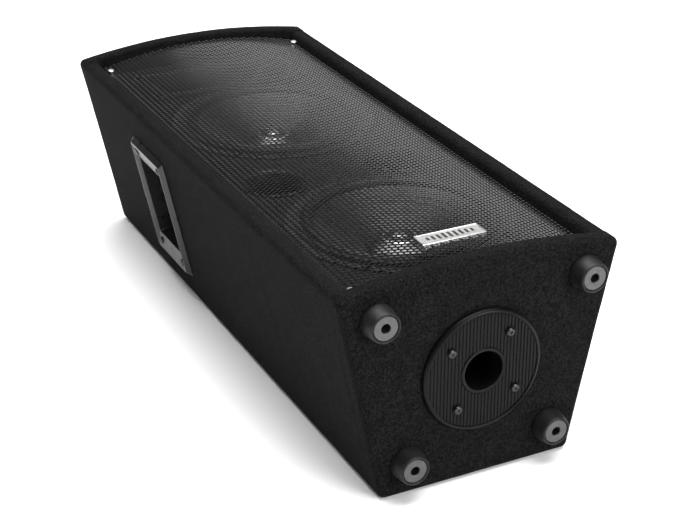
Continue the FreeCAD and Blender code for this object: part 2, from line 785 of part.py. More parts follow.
def build_pole_socket():
    at = ("0", end_y("-", "0"), "dims.pole_height")
    cup = turned([
        ("dims.pole_bore_radius", "dims.pole_flange"),
        ("dims.pole_flange_radius - 4.5", "dims.pole_flange"),
        ("dims.pole_flange_radius - 1.2", "dims.pole_flange - 1.6"),
        ("dims.pole_flange_radius", "0"),
        ("dims.pole_cup_radius", "0"),
        ("dims.pole_cup_radius", "-dims.pole_cup_depth - dims.pole_cup_floor"),
        ("0", "-dims.pole_cup_depth - dims.pole_cup_floor"),
        ("0", "-dims.pole_cup_depth"),
        ("dims.pole_bore_radius", "-dims.pole_cup_depth"),
    ])
    drills = [hole(clearance, (x, up, "0"), "2 * dims.pole_flange") for x, up in pole_screw_offsets()]
    node("pole_socket", place(cut(cup, *drills), *at, turn=to_bottom))
    screws = [screw("dims.pole_screw_length", (x, up, "dims.pole_flange")) for x, up in pole_screw_offsets()]
    screws = place(group(*screws), *at, turn=to_bottom)
    drive(node("pole_socket_screws", screws), "bottom_panel", "carpet_bottom")


def build_feet():
    washers = []
    screws = []
    pocket = "dims.foot_height - dims.foot_insert_depth - dims.foot_insert"
    for name, x, z in foot_spots():
        at = (x, end_y("-", "0"), z)
        rubber = turned([
            ("dims.screw_shank", "0"),
            ("dims.foot_base_radius", "0"),
            ("dims.foot_face_radius", "dims.foot_height"),
            ("dims.foot_insert_radius + dims.screw_gap", "dims.foot_height"),
            ("dims.foot_insert_radius + dims.screw_gap", pocket),
            ("dims.foot_hole_radius", pocket),
            ("dims.foot_hole_radius", "dims.foot_floor"),
            ("dims.screw_shank", "dims.foot_floor"),
        ])
        node(f"foot_{name}", place(rubber, *at, turn=to_bottom))
        washer = ring("dims.foot_hole_radius", "dims.foot_insert_radius", pocket,
                      f"{pocket} + dims.foot_insert")
        washers.append(place(washer, *at, turn=to_bottom))
        screws.append(screw("dims.foot_screw_length", (x, f"{at[1]} - dims.foot_floor", z), to_bottom))
    node("foot_washers", group(*washers))
    drive(node("foot_screws", group(*screws)), "bottom_panel", "carpet_bottom")


# ---------------------------------------------------------------- handles
def handle_screw_offsets():
    spots = []
    for along in ("-", ""):
        for up in ("-", ""):
            spots.append((f"{along}dims.handle_screw_y", f"{up}dims.handle_screw_up"))
    return spots


def handle_dish():
    """Built lying face up: X across the cabinet's side, Y up the slant; stood up afterwards."""
    grow = "2 * dims.handle_wall"
    mouth = ("dims.handle_mouth_width", "dims.handle_mouth_length")
    base = ("dims.handle_width", "dims.handle_length")
    lip = ("dims.handle_lip_width", "dims.handle_lip_length")
    bezel = frustum(base, lip, "dims.handle_rise", ("0", "0", "0"))
    dish = box(f"{mouth[0]} + {grow}", f"{mouth[1]} + {grow}", "dims.handle_depth + dims.handle_wall",
               ("0", "0", "-dims.handle_depth - dims.handle_wall"))
    hollow = box(*mouth, "dims.handle_depth + dims.handle_rise", ("0", "0", "-dims.handle_depth"))
    top = [f"{side} - 2 * dims.handle_lip" for side in lip]
    slope = frustum(mouth, top, "dims.handle_rise - dims.handle_rim_rise",
                    ("0", "0", "dims.handle_rim_rise"))
    drills = []
    for along, up in handle_screw_offsets():
        drills.append(hole(clearance, (along, up, "0"), "2 * dims.handle_rise"))
        drills.append(cylinder("dims.screw_head + dims.screw_gap", "dims.handle_rise",
                               (along, up, "dims.handle_screw_seat")))
    return cut(fuse(bezel, dish), hollow, slope, *drills)


def build_handles():
    stand = FreeCAD.Rotation(FreeCAD.Vector(1, 1, 1), 120)
    screws = []
    for name, sign in (("left", -1), ("right", 1)):
        upright = place(group(handle_dish()), turn=stand)
        node(f"handle_{name}", on_side(group(upright), sign))
        for along, up in handle_screw_offsets():
            driven = screw("dims.handle_screw_length", (along, up, "dims.handle_screw_seat"))
            screws.append(on_side(group(place(group(driven), turn=stand)), sign))
    screws = node("handle_screws", group(*screws))
    drive(screws, "side_panel_left", "side_panel_right", "carpet_left", "carpet_right")


# ---------------------------------------------------------------- connector plate and crossover
def build_connector_plate():
    wall_both = "2 * dims.dish_wall"
    low = "dims.felt - dims.plate_flange"
    flange = box("dims.plate_width", "dims.plate_height", "dims.plate_flange", plate_spot(low))
    dish = box(f"dims.dish_width + {wall_both}", f"dims.dish_height + {wall_both}",
               "dims.dish_depth + dims.dish_wall", plate_spot(low))
    hollow = box("dims.dish_width", "dims.dish_height", "2 * dims.dish_depth",
                 plate_spot(f"{low} - dims.dish_depth"))
    floor_z = f"({low} + dims.dish_depth)"
    drills = []
    for sign in ("-", ""):
        at = (f"{sign}dims.jack_x", plate_spot("0")[1], floor_z)
        drills.append(hole("dims.jack_radius + dims.jack_bush + dims.screw_gap / 4", at))
    screws = []
    for across in ("-", ""):
        for along in ("-", "+"):
            x = f"{across}dims.plate_screw_x"
            y = f"{middle} + dims.plate_y {along} dims.plate_screw_y"
            drills.append(hole("dims.screw_head + dims.screw_gap / 2", (x, y, "0"), "2 * dims.plate_flange"))
            at = (x, y, "dims.felt + dims.plate_screw_proud")
            screws.append(screw("dims.plate_screw_length", at, to_back))
    node("connector_plate", cut(fuse(flange, dish), hollow, *drills))
    drive(node("connector_screws", group(*screws)), "back_panel")
    for name, sign in (("input", "-"), ("link", "")):
        socket = turned([
            ("dims.jack_radius", "-dims.jack_nut"),
            ("dims.jack_radius", "dims.jack_depth"),
            ("0", "dims.jack_depth"),
            ("0", "dims.jack_depth + dims.jack_bush"),
            ("dims.jack_body_radius", "dims.jack_depth + dims.jack_bush"),
            ("dims.jack_body_radius", "dims.dish_wall"),
            ("dims.jack_radius + dims.jack_bush", "dims.dish_wall"),
            ("dims.jack_radius + dims.jack_bush", "0"),
            ("dims.jack_nut_radius", "0"),
            ("dims.jack_nut_radius", "-dims.jack_nut + 1"),
            ("dims.jack_nut_radius - 2", "-dims.jack_nut"),
        ])
        node(f"{name}_jack", place(socket, f"{sign}dims.jack_x", plate_spot("0")[1], floor_z))


def build_crossover():
    y = f"{middle} + dims.crossover_y"
    low = f"{floor_inside} + dims.crossover_stand"
    board = box("dims.crossover_width", "dims.crossover_height", "dims.crossover_board", ("0", y, low))
    spots = []
    for across in ("-", ""):
        for along in ("-", "+"):
            spots.append((f"{across}dims.spacer_x", f"{y} {along} dims.spacer_y", floor_inside))
    spacers = [cylinder("dims.spacer_radius", "dims.crossover_stand", spot) for spot in spots]
    node("crossover_board", board)
    node("crossover_spacers", group(*spacers))
    top = f"{low} + dims.crossover_board"
    coils = []
    for side in ("left", "right"):
        coil = ring("dims.inductor_bore", "dims.inductor_radius", "0", "dims.inductor_height")
        coils.append(place(coil, f"dims.inductor_{side}_x", f"{y} - dims.inductor_y", top))
    node("crossover_coils", group(*coils))
    lying = FreeCAD.Rotation(FreeCAD.Vector(0, 1, 0), 90)
    capacitors = []
    for step in range(3):
        x = f"dims.capacitor_first_x + {step} * dims.capacitor_pitch"
        at = (x, f"{y} + dims.capacitor_y", f"{top} + dims.capacitor_radius")
        capacitors.append(cylinder("dims.capacitor_radius", "dims.capacitor_length", at, lying))
    node("crossover_capacitors", group(*capacitors))


build_ends()
build_sides()
build_back()
build_baffle()
build_battens()
build_grille()
build_woofers()
build_horn()
build_ports()
build_pole_socket()
build_feet()
build_handles()
build_connector_plate()
build_crossover()
doc.recompute()

# ---------------------------------------------------------------- check and write
for item in doc.Objects:
    if any(state in ("Invalid", "Error") for state in item.State):
        raise RuntimeError(f"{item.Label} is {item.State}")
box_all = FreeCAD.BoundBox()
for part in nodes.values():
    shape = part.Shape
    if shape.isNull() or not shape.isValid() or not shape.Solids:
        raise RuntimeError(f"{part.Label} has no valid solid")
    box_all.add(shape.BoundBox)
    print(f"{part.Label:26s} solids {len(shape.Solids):2d}  volume {shape.Volume / 1000:9.2f} cm3")
    shape.exportStep(f"parts/{part.Label}.step")
print("nodes", len(nodes))
print("size", round(box_all.XLength, 2), round(box_all.YLength, 2), round(box_all.ZLength, 2))
print("low", round(box_all.XMin, 2), round(box_all.YMin, 2), round(box_all.ZMin, 2))
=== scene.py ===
import json
import math

import bmesh
import bpy
from mathutils import Matrix, Vector, noise


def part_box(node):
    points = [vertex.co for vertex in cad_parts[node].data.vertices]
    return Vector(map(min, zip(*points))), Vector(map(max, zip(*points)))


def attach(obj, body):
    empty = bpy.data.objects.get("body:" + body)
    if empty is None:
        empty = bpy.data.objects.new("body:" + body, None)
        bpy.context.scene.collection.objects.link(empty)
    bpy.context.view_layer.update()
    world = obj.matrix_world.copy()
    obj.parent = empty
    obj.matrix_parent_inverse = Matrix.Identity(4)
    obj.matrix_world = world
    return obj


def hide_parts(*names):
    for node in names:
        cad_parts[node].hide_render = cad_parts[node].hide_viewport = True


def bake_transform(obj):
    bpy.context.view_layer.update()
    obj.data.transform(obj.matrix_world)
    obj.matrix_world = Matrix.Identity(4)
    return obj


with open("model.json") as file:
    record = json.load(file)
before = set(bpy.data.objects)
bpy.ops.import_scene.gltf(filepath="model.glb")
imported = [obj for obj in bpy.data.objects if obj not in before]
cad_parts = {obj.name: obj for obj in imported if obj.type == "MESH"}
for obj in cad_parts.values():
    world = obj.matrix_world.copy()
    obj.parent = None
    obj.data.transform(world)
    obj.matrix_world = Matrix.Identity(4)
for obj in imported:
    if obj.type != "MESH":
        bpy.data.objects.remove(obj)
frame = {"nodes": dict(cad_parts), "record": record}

print("frame loaded")
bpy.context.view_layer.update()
scene = bpy.context.scene
nodes = frame["nodes"]
mm = 0.001


def middleOf(node):
    low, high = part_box(node)
    return (low + high) / 2


def sizeOf(node):
    low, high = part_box(node)
    return high - low


# materials: each is laid out as in the node editor, with coordinates in metres of the object itself


def startMaterial(name):
    material = bpy.data.materials.new(name)
    material.use_nodes = True
    tree = material.node_tree
    tree.nodes.clear()
    output = tree.nodes.new("ShaderNodeOutputMaterial")
    output.label = "Surface out"
    output.location = (700, 0)
    shader = tree.nodes.new("ShaderNodeBsdfPrincipled")
    shader.label = "Surface"
    shader.location = (400, 0)
    tree.links.new(shader.outputs["BSDF"], output.inputs["Surface"])
    return material, tree, shader


def feltCarpet(name, dark, light, sheen):
    material, tree, shader = startMaterial(name)
    shader.inputs["Roughness"].default_value = 0.95
    shader.inputs["Specular IOR Level"].default_value = 0.08
    shader.inputs["Sheen Weight"].default_value = sheen
    shader.inputs["Sheen Roughness"].default_value = 0.45
    shader.inputs["Sheen Tint"].default_value = (1, 1, 1, 1)

    colourFrame = tree.nodes.new("NodeFrame")
    colourFrame.label = "Fibre tone and painted glints"
    bumpFrame = tree.nodes.new("NodeFrame")
    bumpFrame.label = "Needled nap"

    coordinates = tree.nodes.new("ShaderNodeTexCoord")
    coordinates.label = "Place on the cabinet"

    fibres = tree.nodes.new("ShaderNodeTexNoise")
    fibres.label = "Single fibres"
    fibres.parent = colourFrame
    fibres.inputs["Scale"].default_value = 640
    fibres.inputs["Detail"].default_value = 3
    fibres.inputs["Roughness"].default_value = 0.65
    tree.links.new(coordinates.outputs["Object"], fibres.inputs["Vector"])

    patches = tree.nodes.new("ShaderNodeTexNoise")
    patches.label = "Brushed patches"
    patches.parent = colourFrame
    patches.inputs["Scale"].default_value = 60
    patches.inputs["Detail"].default_value = 4
    tree.links.new(coordinates.outputs["Object"], patches.inputs["Vector"])

    # painted glints: the light end of this ramp paints single fibres as if they caught light, over a random
    # dark fibre tone
    fleck = tree.nodes.new("ShaderNodeValToRGB")
    fleck.label = "Fibre tone with painted glints"
    fleck.parent = colourFrame
    fleck.color_ramp.elements[0].position = 0.42
    fleck.color_ramp.elements[0].color = (*dark, 1)
    fleck.color_ramp.elements[1].position = 0.72
    fleck.color_ramp.elements[1].color = (*light, 1)
    tree.links.new(fibres.outputs["Fac"], fleck.inputs["Fac"])

    shade = tree.nodes.new("ShaderNodeMapRange")
    shade.label = "How dark a patch is"
    shade.parent = colourFrame
    shade.inputs["From Min"].default_value = 0.3
    shade.inputs["From Max"].default_value = 0.7
    shade.inputs["To Min"].default_value = 0.75
    shade.inputs["To Max"].default_value = 1.15
    tree.links.new(patches.outputs["Fac"], shade.inputs["Value"])

    colour = tree.nodes.new("ShaderNodeMix")
    colour.data_type = "RGBA"
    colour.blend_type = "MULTIPLY"
    colour.label = "Felt colour with painted glints"
    colour.parent = colourFrame
    colour.inputs["Factor"].default_value = 1
    tree.links.new(fleck.outputs["Color"], colour.inputs["A"])
    tree.links.new(shade.outputs["Result"], colour.inputs["B"])
    tree.links.new(colour.outputs["Result"], shader.inputs["Base Color"])

    tufts = tree.nodes.new("ShaderNodeTexNoise")
    tufts.label = "Tufts"
    tufts.parent = bumpFrame
    tufts.inputs["Scale"].default_value = 380
    tufts.inputs["Detail"].default_value = 6
    tufts.inputs["Roughness"].default_value = 0.7
    tree.links.new(coordinates.outputs["Object"], tufts.inputs["Vector"])

    nap = tree.nodes.new("ShaderNodeBump")
    nap.label = "Nap"
    nap.parent = bumpFrame
    nap.inputs["Strength"].default_value = 1
    nap.inputs["Distance"].default_value = 1.6 * mm
    tree.links.new(tufts.outputs["Fac"], nap.inputs["Height"])
    tree.links.new(nap.outputs["Normal"], shader.inputs["Normal"])

    for node, place in (
        (coordinates, (-1100, 0)), (fibres, (-800, 300)), (patches, (-800, 60)), (fleck, (-550, 300)),
        (shade, (-550, 60)), (colour, (-250, 220)), (tufts, (-800, -250)), (nap, (-250, -250)),
    ):
        node.location = place
    return material


def mouldedPlastic(name, colour, roughness, grainSize, grainDepth, specular=0.5, coat=0.0):
    # black ABS, nylon or rubber: a spark-eroded grain, and a finish that varies a little
    material, tree, shader = startMaterial(name)
    shader.inputs["IOR"].default_value = 1.5
    shader.inputs["Specular IOR Level"].default_value = specular
    shader.inputs["Coat Weight"].default_value = coat
    shader.inputs["Coat Roughness"].default_value = 0.25

    colourFrame = tree.nodes.new("NodeFrame")
    colourFrame.label = "Colour and wear"
    grainFrame = tree.nodes.new("NodeFrame")
    grainFrame.label = "Mould grain"

    coordinates = tree.nodes.new("ShaderNodeTexCoord")
    coordinates.label = "Place on the cabinet"

    handling = tree.nodes.new("ShaderNodeTexNoise")
    handling.label = "Handling marks"
    handling.parent = colourFrame
    handling.inputs["Scale"].default_value = 90
    handling.inputs["Detail"].default_value = 5
    tree.links.new(coordinates.outputs["Object"], handling.inputs["Vector"])

    tone = tree.nodes.new("ShaderNodeValToRGB")
    tone.label = "Tone"
    tone.parent = colourFrame
    tone.color_ramp.elements[0].position = 0.35
    tone.color_ramp.elements[0].color = (*[channel * 0.8 for channel in colour], 1)
    tone.color_ramp.elements[1].position = 0.7
    tone.color_ramp.elements[1].color = (*[channel * 1.25 for channel in colour], 1)
    tree.links.new(handling.outputs["Fac"], tone.inputs["Fac"])
    tree.links.new(tone.outputs["Color"], shader.inputs["Base Color"])

    polish = tree.nodes.new("ShaderNodeMapRange")
    polish.label = "Roughness where handled"
    polish.parent = colourFrame
    polish.inputs["From Min"].default_value = 0.3
    polish.inputs["From Max"].default_value = 0.7
    polish.inputs["To Min"].default_value = roughness * 0.88
    polish.inputs["To Max"].default_value = roughness * 1.12
    tree.links.new(handling.outputs["Fac"], polish.inputs["Value"])
    tree.links.new(polish.outputs["Result"], shader.inputs["Roughness"])

    grain = tree.nodes.new("ShaderNodeTexVoronoi")
    grain.label = "Spark grain"
    grain.parent = grainFrame
    grain.inputs["Scale"].default_value = 1 / grainSize
    tree.links.new(coordinates.outputs["Object"], grain.inputs["Vector"])

    relief = tree.nodes.new("ShaderNodeBump")
    relief.label = "Grain relief"
    relief.parent = grainFrame
    relief.inputs["Strength"].default_value = 0.6
    relief.inputs["Distance"].default_value = grainDepth
    tree.links.new(grain.outputs["Distance"], relief.inputs["Height"])
    tree.links.new(relief.outputs["Normal"], shader.inputs["Normal"])

    for node, place in (
        (coordinates, (-1100, 0)), (handling, (-800, 250)), (tone, (-550, 300)), (polish, (-550, 80)),
        (grain, (-800, -200)), (relief, (-550, -200)),
    ):
        node.location = place
    return material


def brightMetal(name, colour, roughness, brushing, stretch):
    # plated or bare metal: stretch gives the brush marks' direction, and (1, 1, 1) is a tumbled finish
    material, tree, shader = startMaterial(name)
    shader.inputs["Metallic"].default_value = 1

    brushFrame = tree.nodes.new("NodeFrame")
    brushFrame.label = "Brushing"
    toneFrame = tree.nodes.new("NodeFrame")
    toneFrame.label = "Tarnish"

    coordinates = tree.nodes.new("ShaderNodeTexCoord")
    coordinates.label = "Place on the cabinet"

    along = tree.nodes.new("ShaderNodeMapping")
    along.label = "Brush direction"
    along.parent = brushFrame
    along.inputs["Scale"].default_value = stretch
    tree.links.new(coordinates.outputs["Object"], along.inputs["Vector"])

    strokes = tree.nodes.new("ShaderNodeTexNoise")
    strokes.label = "Brush strokes"
    strokes.parent = brushFrame
    strokes.inputs["Scale"].default_value = 1500
    strokes.inputs["Detail"].default_value = 4
    tree.links.new(along.outputs["Vector"], strokes.inputs["Vector"])

    finish = tree.nodes.new("ShaderNodeMapRange")
    finish.label = "Roughness of the strokes"
    finish.parent = brushFrame
    finish.inputs["From Min"].default_value = 0.3
    finish.inputs["From Max"].default_value = 0.7
    finish.inputs["To Min"].default_value = roughness * 0.8
    finish.inputs["To Max"].default_value = roughness * 1.2
    tree.links.new(strokes.outputs["Fac"], finish.inputs["Value"])
    tree.links.new(finish.outputs["Result"], shader.inputs["Roughness"])

    relief = tree.nodes.new("ShaderNodeBump")
    relief.label = "Stroke relief"
    relief.parent = brushFrame
    relief.inputs["Strength"].default_value = brushing
    relief.inputs["Distance"].default_value = 0.03 * mm
    tree.links.new(strokes.outputs["Fac"], relief.inputs["Height"])
    tree.links.new(relief.outputs["Normal"], shader.inputs["Normal"])

    clouds = tree.nodes.new("ShaderNodeTexNoise")
    clouds.label = "Dull clouds"
    clouds.parent = toneFrame
    clouds.inputs["Scale"].default_value = 220
    clouds.inputs["Detail"].default_value = 4
    tree.links.new(coordinates.outputs["Object"], clouds.inputs["Vector"])

    tone = tree.nodes.new("ShaderNodeValToRGB")
    tone.label = "Metal colour"
    tone.parent = toneFrame
    tone.color_ramp.elements[0].position = 0.3
    tone.color_ramp.elements[0].color = (*[channel * 0.82 for channel in colour], 1)
    tone.color_ramp.elements[1].position = 0.7
    tone.color_ramp.elements[1].color = (*colour, 1)
    tree.links.new(clouds.outputs["Fac"], tone.inputs["Fac"])
    tree.links.new(tone.outputs["Color"], shader.inputs["Base Color"])

    for node, place in (
        (coordinates, (-1300, 0)), (along, (-1050, -150)), (strokes, (-800, -150)),
        (finish, (-550, -60)), (relief, (-550, -330)), (clouds, (-800, 250)), (tone, (-550, 300)),
    ):
        node.location = place
    return material


def paintedSteel(name, colour, roughness, peelDepth, specular=0.5, unevenness=1.3):
    # powder coat: a thick skin with orange peel
    material, tree, shader = startMaterial(name)
    shader.inputs["Specular IOR Level"].default_value = specular
    shader.inputs["Coat Weight"].default_value = 0.1
    shader.inputs["Coat Roughness"].default_value = 0.12

    peelFrame = tree.nodes.new("NodeFrame")
    peelFrame.label = "Orange peel"
    dustFrame = tree.nodes.new("NodeFrame")
    dustFrame.label = "Dust"

    coordinates = tree.nodes.new("ShaderNodeTexCoord")
    coordinates.label = "Place on the cabinet"

    peel = tree.nodes.new("ShaderNodeTexNoise")
    peel.label = "Peel"
    peel.parent = peelFrame
    peel.inputs["Scale"].default_value = 700
    peel.inputs["Detail"].default_value = 2
    tree.links.new(coordinates.outputs["Object"], peel.inputs["Vector"])

    relief = tree.nodes.new("ShaderNodeBump")
    relief.label = "Peel relief"
    relief.parent = peelFrame
    relief.inputs["Strength"].default_value = 0.5
    relief.inputs["Distance"].default_value = peelDepth
    tree.links.new(peel.outputs["Fac"], relief.inputs["Height"])
    tree.links.new(relief.outputs["Normal"], shader.inputs["Normal"])

    dust = tree.nodes.new("ShaderNodeTexNoise")
    dust.label = "Settled dust"
    dust.parent = dustFrame
    dust.inputs["Scale"].default_value = 45
    dust.inputs["Detail"].default_value = 8
    dust.inputs["Roughness"].default_value = 0.7
    tree.links.new(coordinates.outputs["Object"], dust.inputs["Vector"])

    tone = tree.nodes.new("ShaderNodeValToRGB")
    tone.label = "Paint colour"
    tone.parent = dustFrame
    tone.color_ramp.elements[0].position = 0.4
    tone.color_ramp.elements[0].color = (*colour, 1)
    tone.color_ramp.elements[1].position = 0.8
    tone.color_ramp.elements[1].color = (*[channel * 1.6 + 0.002 for channel in colour], 1)
    tree.links.new(dust.outputs["Fac"], tone.inputs["Fac"])
    tree.links.new(tone.outputs["Color"], shader.inputs["Base Color"])

    finish = tree.nodes.new("ShaderNodeMapRange")
    finish.label = "Roughness under dust"
    finish.parent = dustFrame
    finish.inputs["From Min"].default_value = 0.3
    finish.inputs["From Max"].default_value = 0.8
    finish.inputs["To Min"].default_value = roughness
    finish.inputs["To Max"].default_value = roughness * unevenness
    tree.links.new(dust.outputs["Fac"], finish.inputs["Value"])
    tree.links.new(finish.outputs["Result"], shader.inputs["Roughness"])

    for node, place in (
        (coordinates, (-1100, 0)), (peel, (-800, -200)), (relief, (-550, -200)), (dust, (-800, 200)),
        (tone, (-550, 300)), (finish, (-550, 60)),
    ):
        node.location = place
    return material


def plywood(name, early, late, roughness):
    # birch ply, bare or stained black: stretched growth lines and fine pores
    material, tree, shader = startMaterial(name)

    grainFrame = tree.nodes.new("NodeFrame")
    grainFrame.label = "Wood grain"
    poreFrame = tree.nodes.new("NodeFrame")
    poreFrame.label = "Pores"
    shader.inputs["Roughness"].default_value = roughness

    coordinates = tree.nodes.new("ShaderNodeTexCoord")
    coordinates.label = "Place on the cabinet"

    along = tree.nodes.new("ShaderNodeMapping")
    along.label = "Along the board"
    along.parent = grainFrame
    along.inputs["Scale"].default_value = (1, 0.08, 1)
    tree.links.new(coordinates.outputs["Object"], along.inputs["Vector"])

    growth = tree.nodes.new("ShaderNodeTexNoise")
    growth.label = "Growth lines"
    growth.parent = grainFrame
    growth.inputs["Scale"].default_value = 220
    growth.inputs["Detail"].default_value = 5
    growth.inputs["Distortion"].default_value = 0.6
    tree.links.new(along.outputs["Vector"], growth.inputs["Vector"])

    tone = tree.nodes.new("ShaderNodeValToRGB")
    tone.label = "Early and late wood"
    tone.parent = grainFrame
    tone.color_ramp.elements[0].position = 0.3
    tone.color_ramp.elements[0].color = (*late, 1)
    tone.color_ramp.elements[1].position = 0.7
    tone.color_ramp.elements[1].color = (*early, 1)
    tree.links.new(growth.outputs["Fac"], tone.inputs["Fac"])
    tree.links.new(tone.outputs["Color"], shader.inputs["Base Color"])

    pores = tree.nodes.new("ShaderNodeTexNoise")
    pores.label = "Open pores"
    pores.parent = poreFrame
    pores.inputs["Scale"].default_value = 1600
    tree.links.new(along.outputs["Vector"], pores.inputs["Vector"])

    relief = tree.nodes.new("ShaderNodeBump")
    relief.label = "Pore relief"
    relief.parent = poreFrame
    relief.inputs["Strength"].default_value = 0.4
    relief.inputs["Distance"].default_value = 0.2 * mm
    tree.links.new(pores.outputs["Fac"], relief.inputs["Height"])
    tree.links.new(relief.outputs["Normal"], shader.inputs["Normal"])

    for node, place in (
        (coordinates, (-1300, 0)), (along, (-1050, 150)), (growth, (-800, 150)), (tone, (-550, 200)),
        (pores, (-800, -200)), (relief, (-550, -200)),
    ):
        node.location = place
    return material


def pressedPulp(name, colour, roughness, fibreSize, fibreDepth):
    # cone paper, spider cloth and foam: a fibrous sheet with a slight sheen
    material, tree, shader = startMaterial(name)
    shader.inputs["Roughness"].default_value = roughness
    shader.inputs["Sheen Weight"].default_value = 0.15
    shader.inputs["Sheen Roughness"].default_value = 0.5

    fibreFrame = tree.nodes.new("NodeFrame")
    fibreFrame.label = "Fibres"

    coordinates = tree.nodes.new("ShaderNodeTexCoord")
    coordinates.label = "Place on the cabinet"

    fibres = tree.nodes.new("ShaderNodeTexNoise")
    fibres.label = "Matted fibres"
    fibres.parent = fibreFrame
    fibres.inputs["Scale"].default_value = 1 / fibreSize
    fibres.inputs["Detail"].default_value = 7
    fibres.inputs["Roughness"].default_value = 0.7
    fibres.inputs["Distortion"].default_value = 1.2
    tree.links.new(coordinates.outputs["Object"], fibres.inputs["Vector"])

    tone = tree.nodes.new("ShaderNodeValToRGB")
    tone.label = "Pulp colour"
    tone.parent = fibreFrame
    tone.color_ramp.elements[0].position = 0.35
    tone.color_ramp.elements[0].color = (*[channel * 0.6 for channel in colour], 1)
    tone.color_ramp.elements[1].position = 0.75
    tone.color_ramp.elements[1].color = (*[channel * 1.35 for channel in colour], 1)
    tree.links.new(fibres.outputs["Fac"], tone.inputs["Fac"])
    tree.links.new(tone.outputs["Color"], shader.inputs["Base Color"])

    relief = tree.nodes.new("ShaderNodeBump")
    relief.label = "Fibre relief"
    relief.parent = fibreFrame
    relief.inputs["Strength"].default_value = 0.6
    relief.inputs["Distance"].default_value = fibreDepth
    tree.links.new(fibres.outputs["Fac"], relief.inputs["Height"])
    tree.links.new(relief.outputs["Normal"], shader.inputs["Normal"])

    for node, place in (
        (coordinates, (-1100, 0)), (fibres, (-800, 0)), (tone, (-550, 150)), (relief, (-550, -150)),
    ):
        node.location = place
    return material


# the felt's light colour is the painted glint of its fibres; the dark colour is their own tone
felt = feltCarpet("blackNeedleFelt", (0.0006, 0.0006, 0.0006), (0.0145, 0.0145, 0.0148), 0.004)
grillePaint = paintedSteel("glossBlackPowderCoat", (0.0025, 0.0025, 0.0026), 0.2, 0.02 * mm, 0.33, 1.15)
basketPaint = paintedSteel("blackBasketPaint", (0.02, 0.02, 0.021), 0.45, 0.08 * mm)
ferrite = paintedSteel("sinteredFerrite", (0.04, 0.04, 0.043), 0.6, 0.15 * mm)
handlePlastic = mouldedPlastic("semiGlossHandlePlastic", (0.006, 0.006, 0.0062), 0.3, 0.5 * mm, 0.03 * mm)
socketPlastic = mouldedPlastic("semiGlossSocketPlastic", (0.0025, 0.0025, 0.0026), 0.32, 0.5 * mm, 0.03 * mm,
                               0.1)
hornPlastic = mouldedPlastic("satinHornPlastic", (0.009, 0.009, 0.0093), 0.42, 0.6 * mm, 0.05 * mm)
platePlastic = mouldedPlastic("satinPlatePlastic", (0.02, 0.02, 0.021), 0.5, 0.6 * mm, 0.06 * mm)
jackPlastic = mouldedPlastic("blackNylon", (0.03, 0.03, 0.031), 0.45, 0.4 * mm, 0.02 * mm)
footRubber = mouldedPlastic("mouldedRubber", (0.006, 0.006, 0.0062), 0.5, 0.7 * mm, 0.05 * mm, 0.22)
rollRubber = mouldedPlastic("coatedSurroundCloth", (0.01, 0.01, 0.0103), 0.5, 0.5 * mm, 0.08 * mm)
laminate = mouldedPlastic("greenLaminate", (0.012, 0.09, 0.03), 0.35, 0.8 * mm, 0.02 * mm, 0.5, 0.4)
wrappedFilm = mouldedPlastic("yellowFilm", (0.5, 0.36, 0.03), 0.3, 2 * mm, 0.05 * mm, 0.5, 0.3)
screwSteel = brightMetal("zincScrewSteel", (0.75, 0.74, 0.72), 0.28, 0.3, (1, 1, 1))
darkSteel = brightMetal("blackenedScrewSteel", (0.05, 0.05, 0.052), 0.32, 0.3, (1, 1, 1))
washerSteel = brightMetal("dullWasherSteel", (0.1, 0.1, 0.1), 0.5, 0.5, (1, 1, 1))
badgeMetal = brightMetal("brushedBadgeAluminium", (0.8, 0.8, 0.79), 0.33, 0.8, (0.05, 1, 1))
capMetal = brightMetal("darkAnodisedCap", (0.16, 0.16, 0.165), 0.34, 0.4, (1, 1, 1))
platedSteel = brightMetal("yellowPlatedSteel", (0.6, 0.52, 0.3), 0.35, 0.4, (1, 1, 1))
copperWire = brightMetal("enamelledCopper", (0.62, 0.26, 0.11), 0.3, 1, (1, 1, 6))
bareWood = plywood("bareBirchPly", (0.6, 0.43, 0.26), (0.42, 0.27, 0.14), 0.7)
blackWood = plywood("blackStainedPly", (0.005, 0.005, 0.005), (0.002, 0.002, 0.002), 0.85)
conePaper = pressedPulp("pressedConePulp", (0.015, 0.015, 0.0155), 0.36, 1.5 * mm, 0.12 * mm)
spiderCloth = pressedPulp("resinSpiderCloth", (0.5, 0.34, 0.12), 0.8, 0.6 * mm, 0.1 * mm)
gasketFoam = pressedPulp("gasketFoam", (0.02, 0.02, 0.02), 0.9, 0.9 * mm, 0.3 * mm)
print("materials made")


def makePiece(name, part, body, material, sharpAngle=35, closeGap=0.0):
    vertices, faces = part
    mesh = bpy.data.meshes.new(name)
    work = bmesh.new()
    points = [work.verts.new(v) for v in vertices]
    for face in faces:
        work.faces.new([points[corner] for corner in face])
    if closeGap:
        bmesh.ops.remove_doubles(work, verts=work.verts, dist=closeGap)
    bmesh.ops.recalc_face_normals(work, faces=work.faces)
    work.to_mesh(mesh)
    work.free()
    mesh.materials.append(material)
    mesh.shade_smooth()
    mesh.set_sharp_from_angle(angle=math.radians(sharpAngle))
    piece = bpy.data.objects.new(name, mesh)
    scene.collection.objects.link(piece)
    if body:
        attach(piece, body)
    return piece


def applyModifiers(piece):
    graph = bpy.context.evaluated_depsgraph_get()
    finished = bpy.data.meshes.new_from_object(piece.evaluated_get(graph))
    piece.modifiers.clear()
    piece.data = finished


def solidify(piece, thickness, offset=-1):
    shell = piece.modifiers.new("thickness", "SOLIDIFY")
    shell.thickness = thickness
    shell.offset = offset
    shell.use_even_offset = True
    applyModifiers(piece)


def carve(piece, cutterPart):
    # takes the cutter's volume out of the piece
    cutter = makePiece("cutter", cutterPart, None, felt)
    tool = piece.modifiers.new("carve", "BOOLEAN")
    tool.operation = "DIFFERENCE"
    tool.solver = "EXACT"
    tool.object = cutter
    applyModifiers(piece)
    bpy.data.objects.remove(cutter)


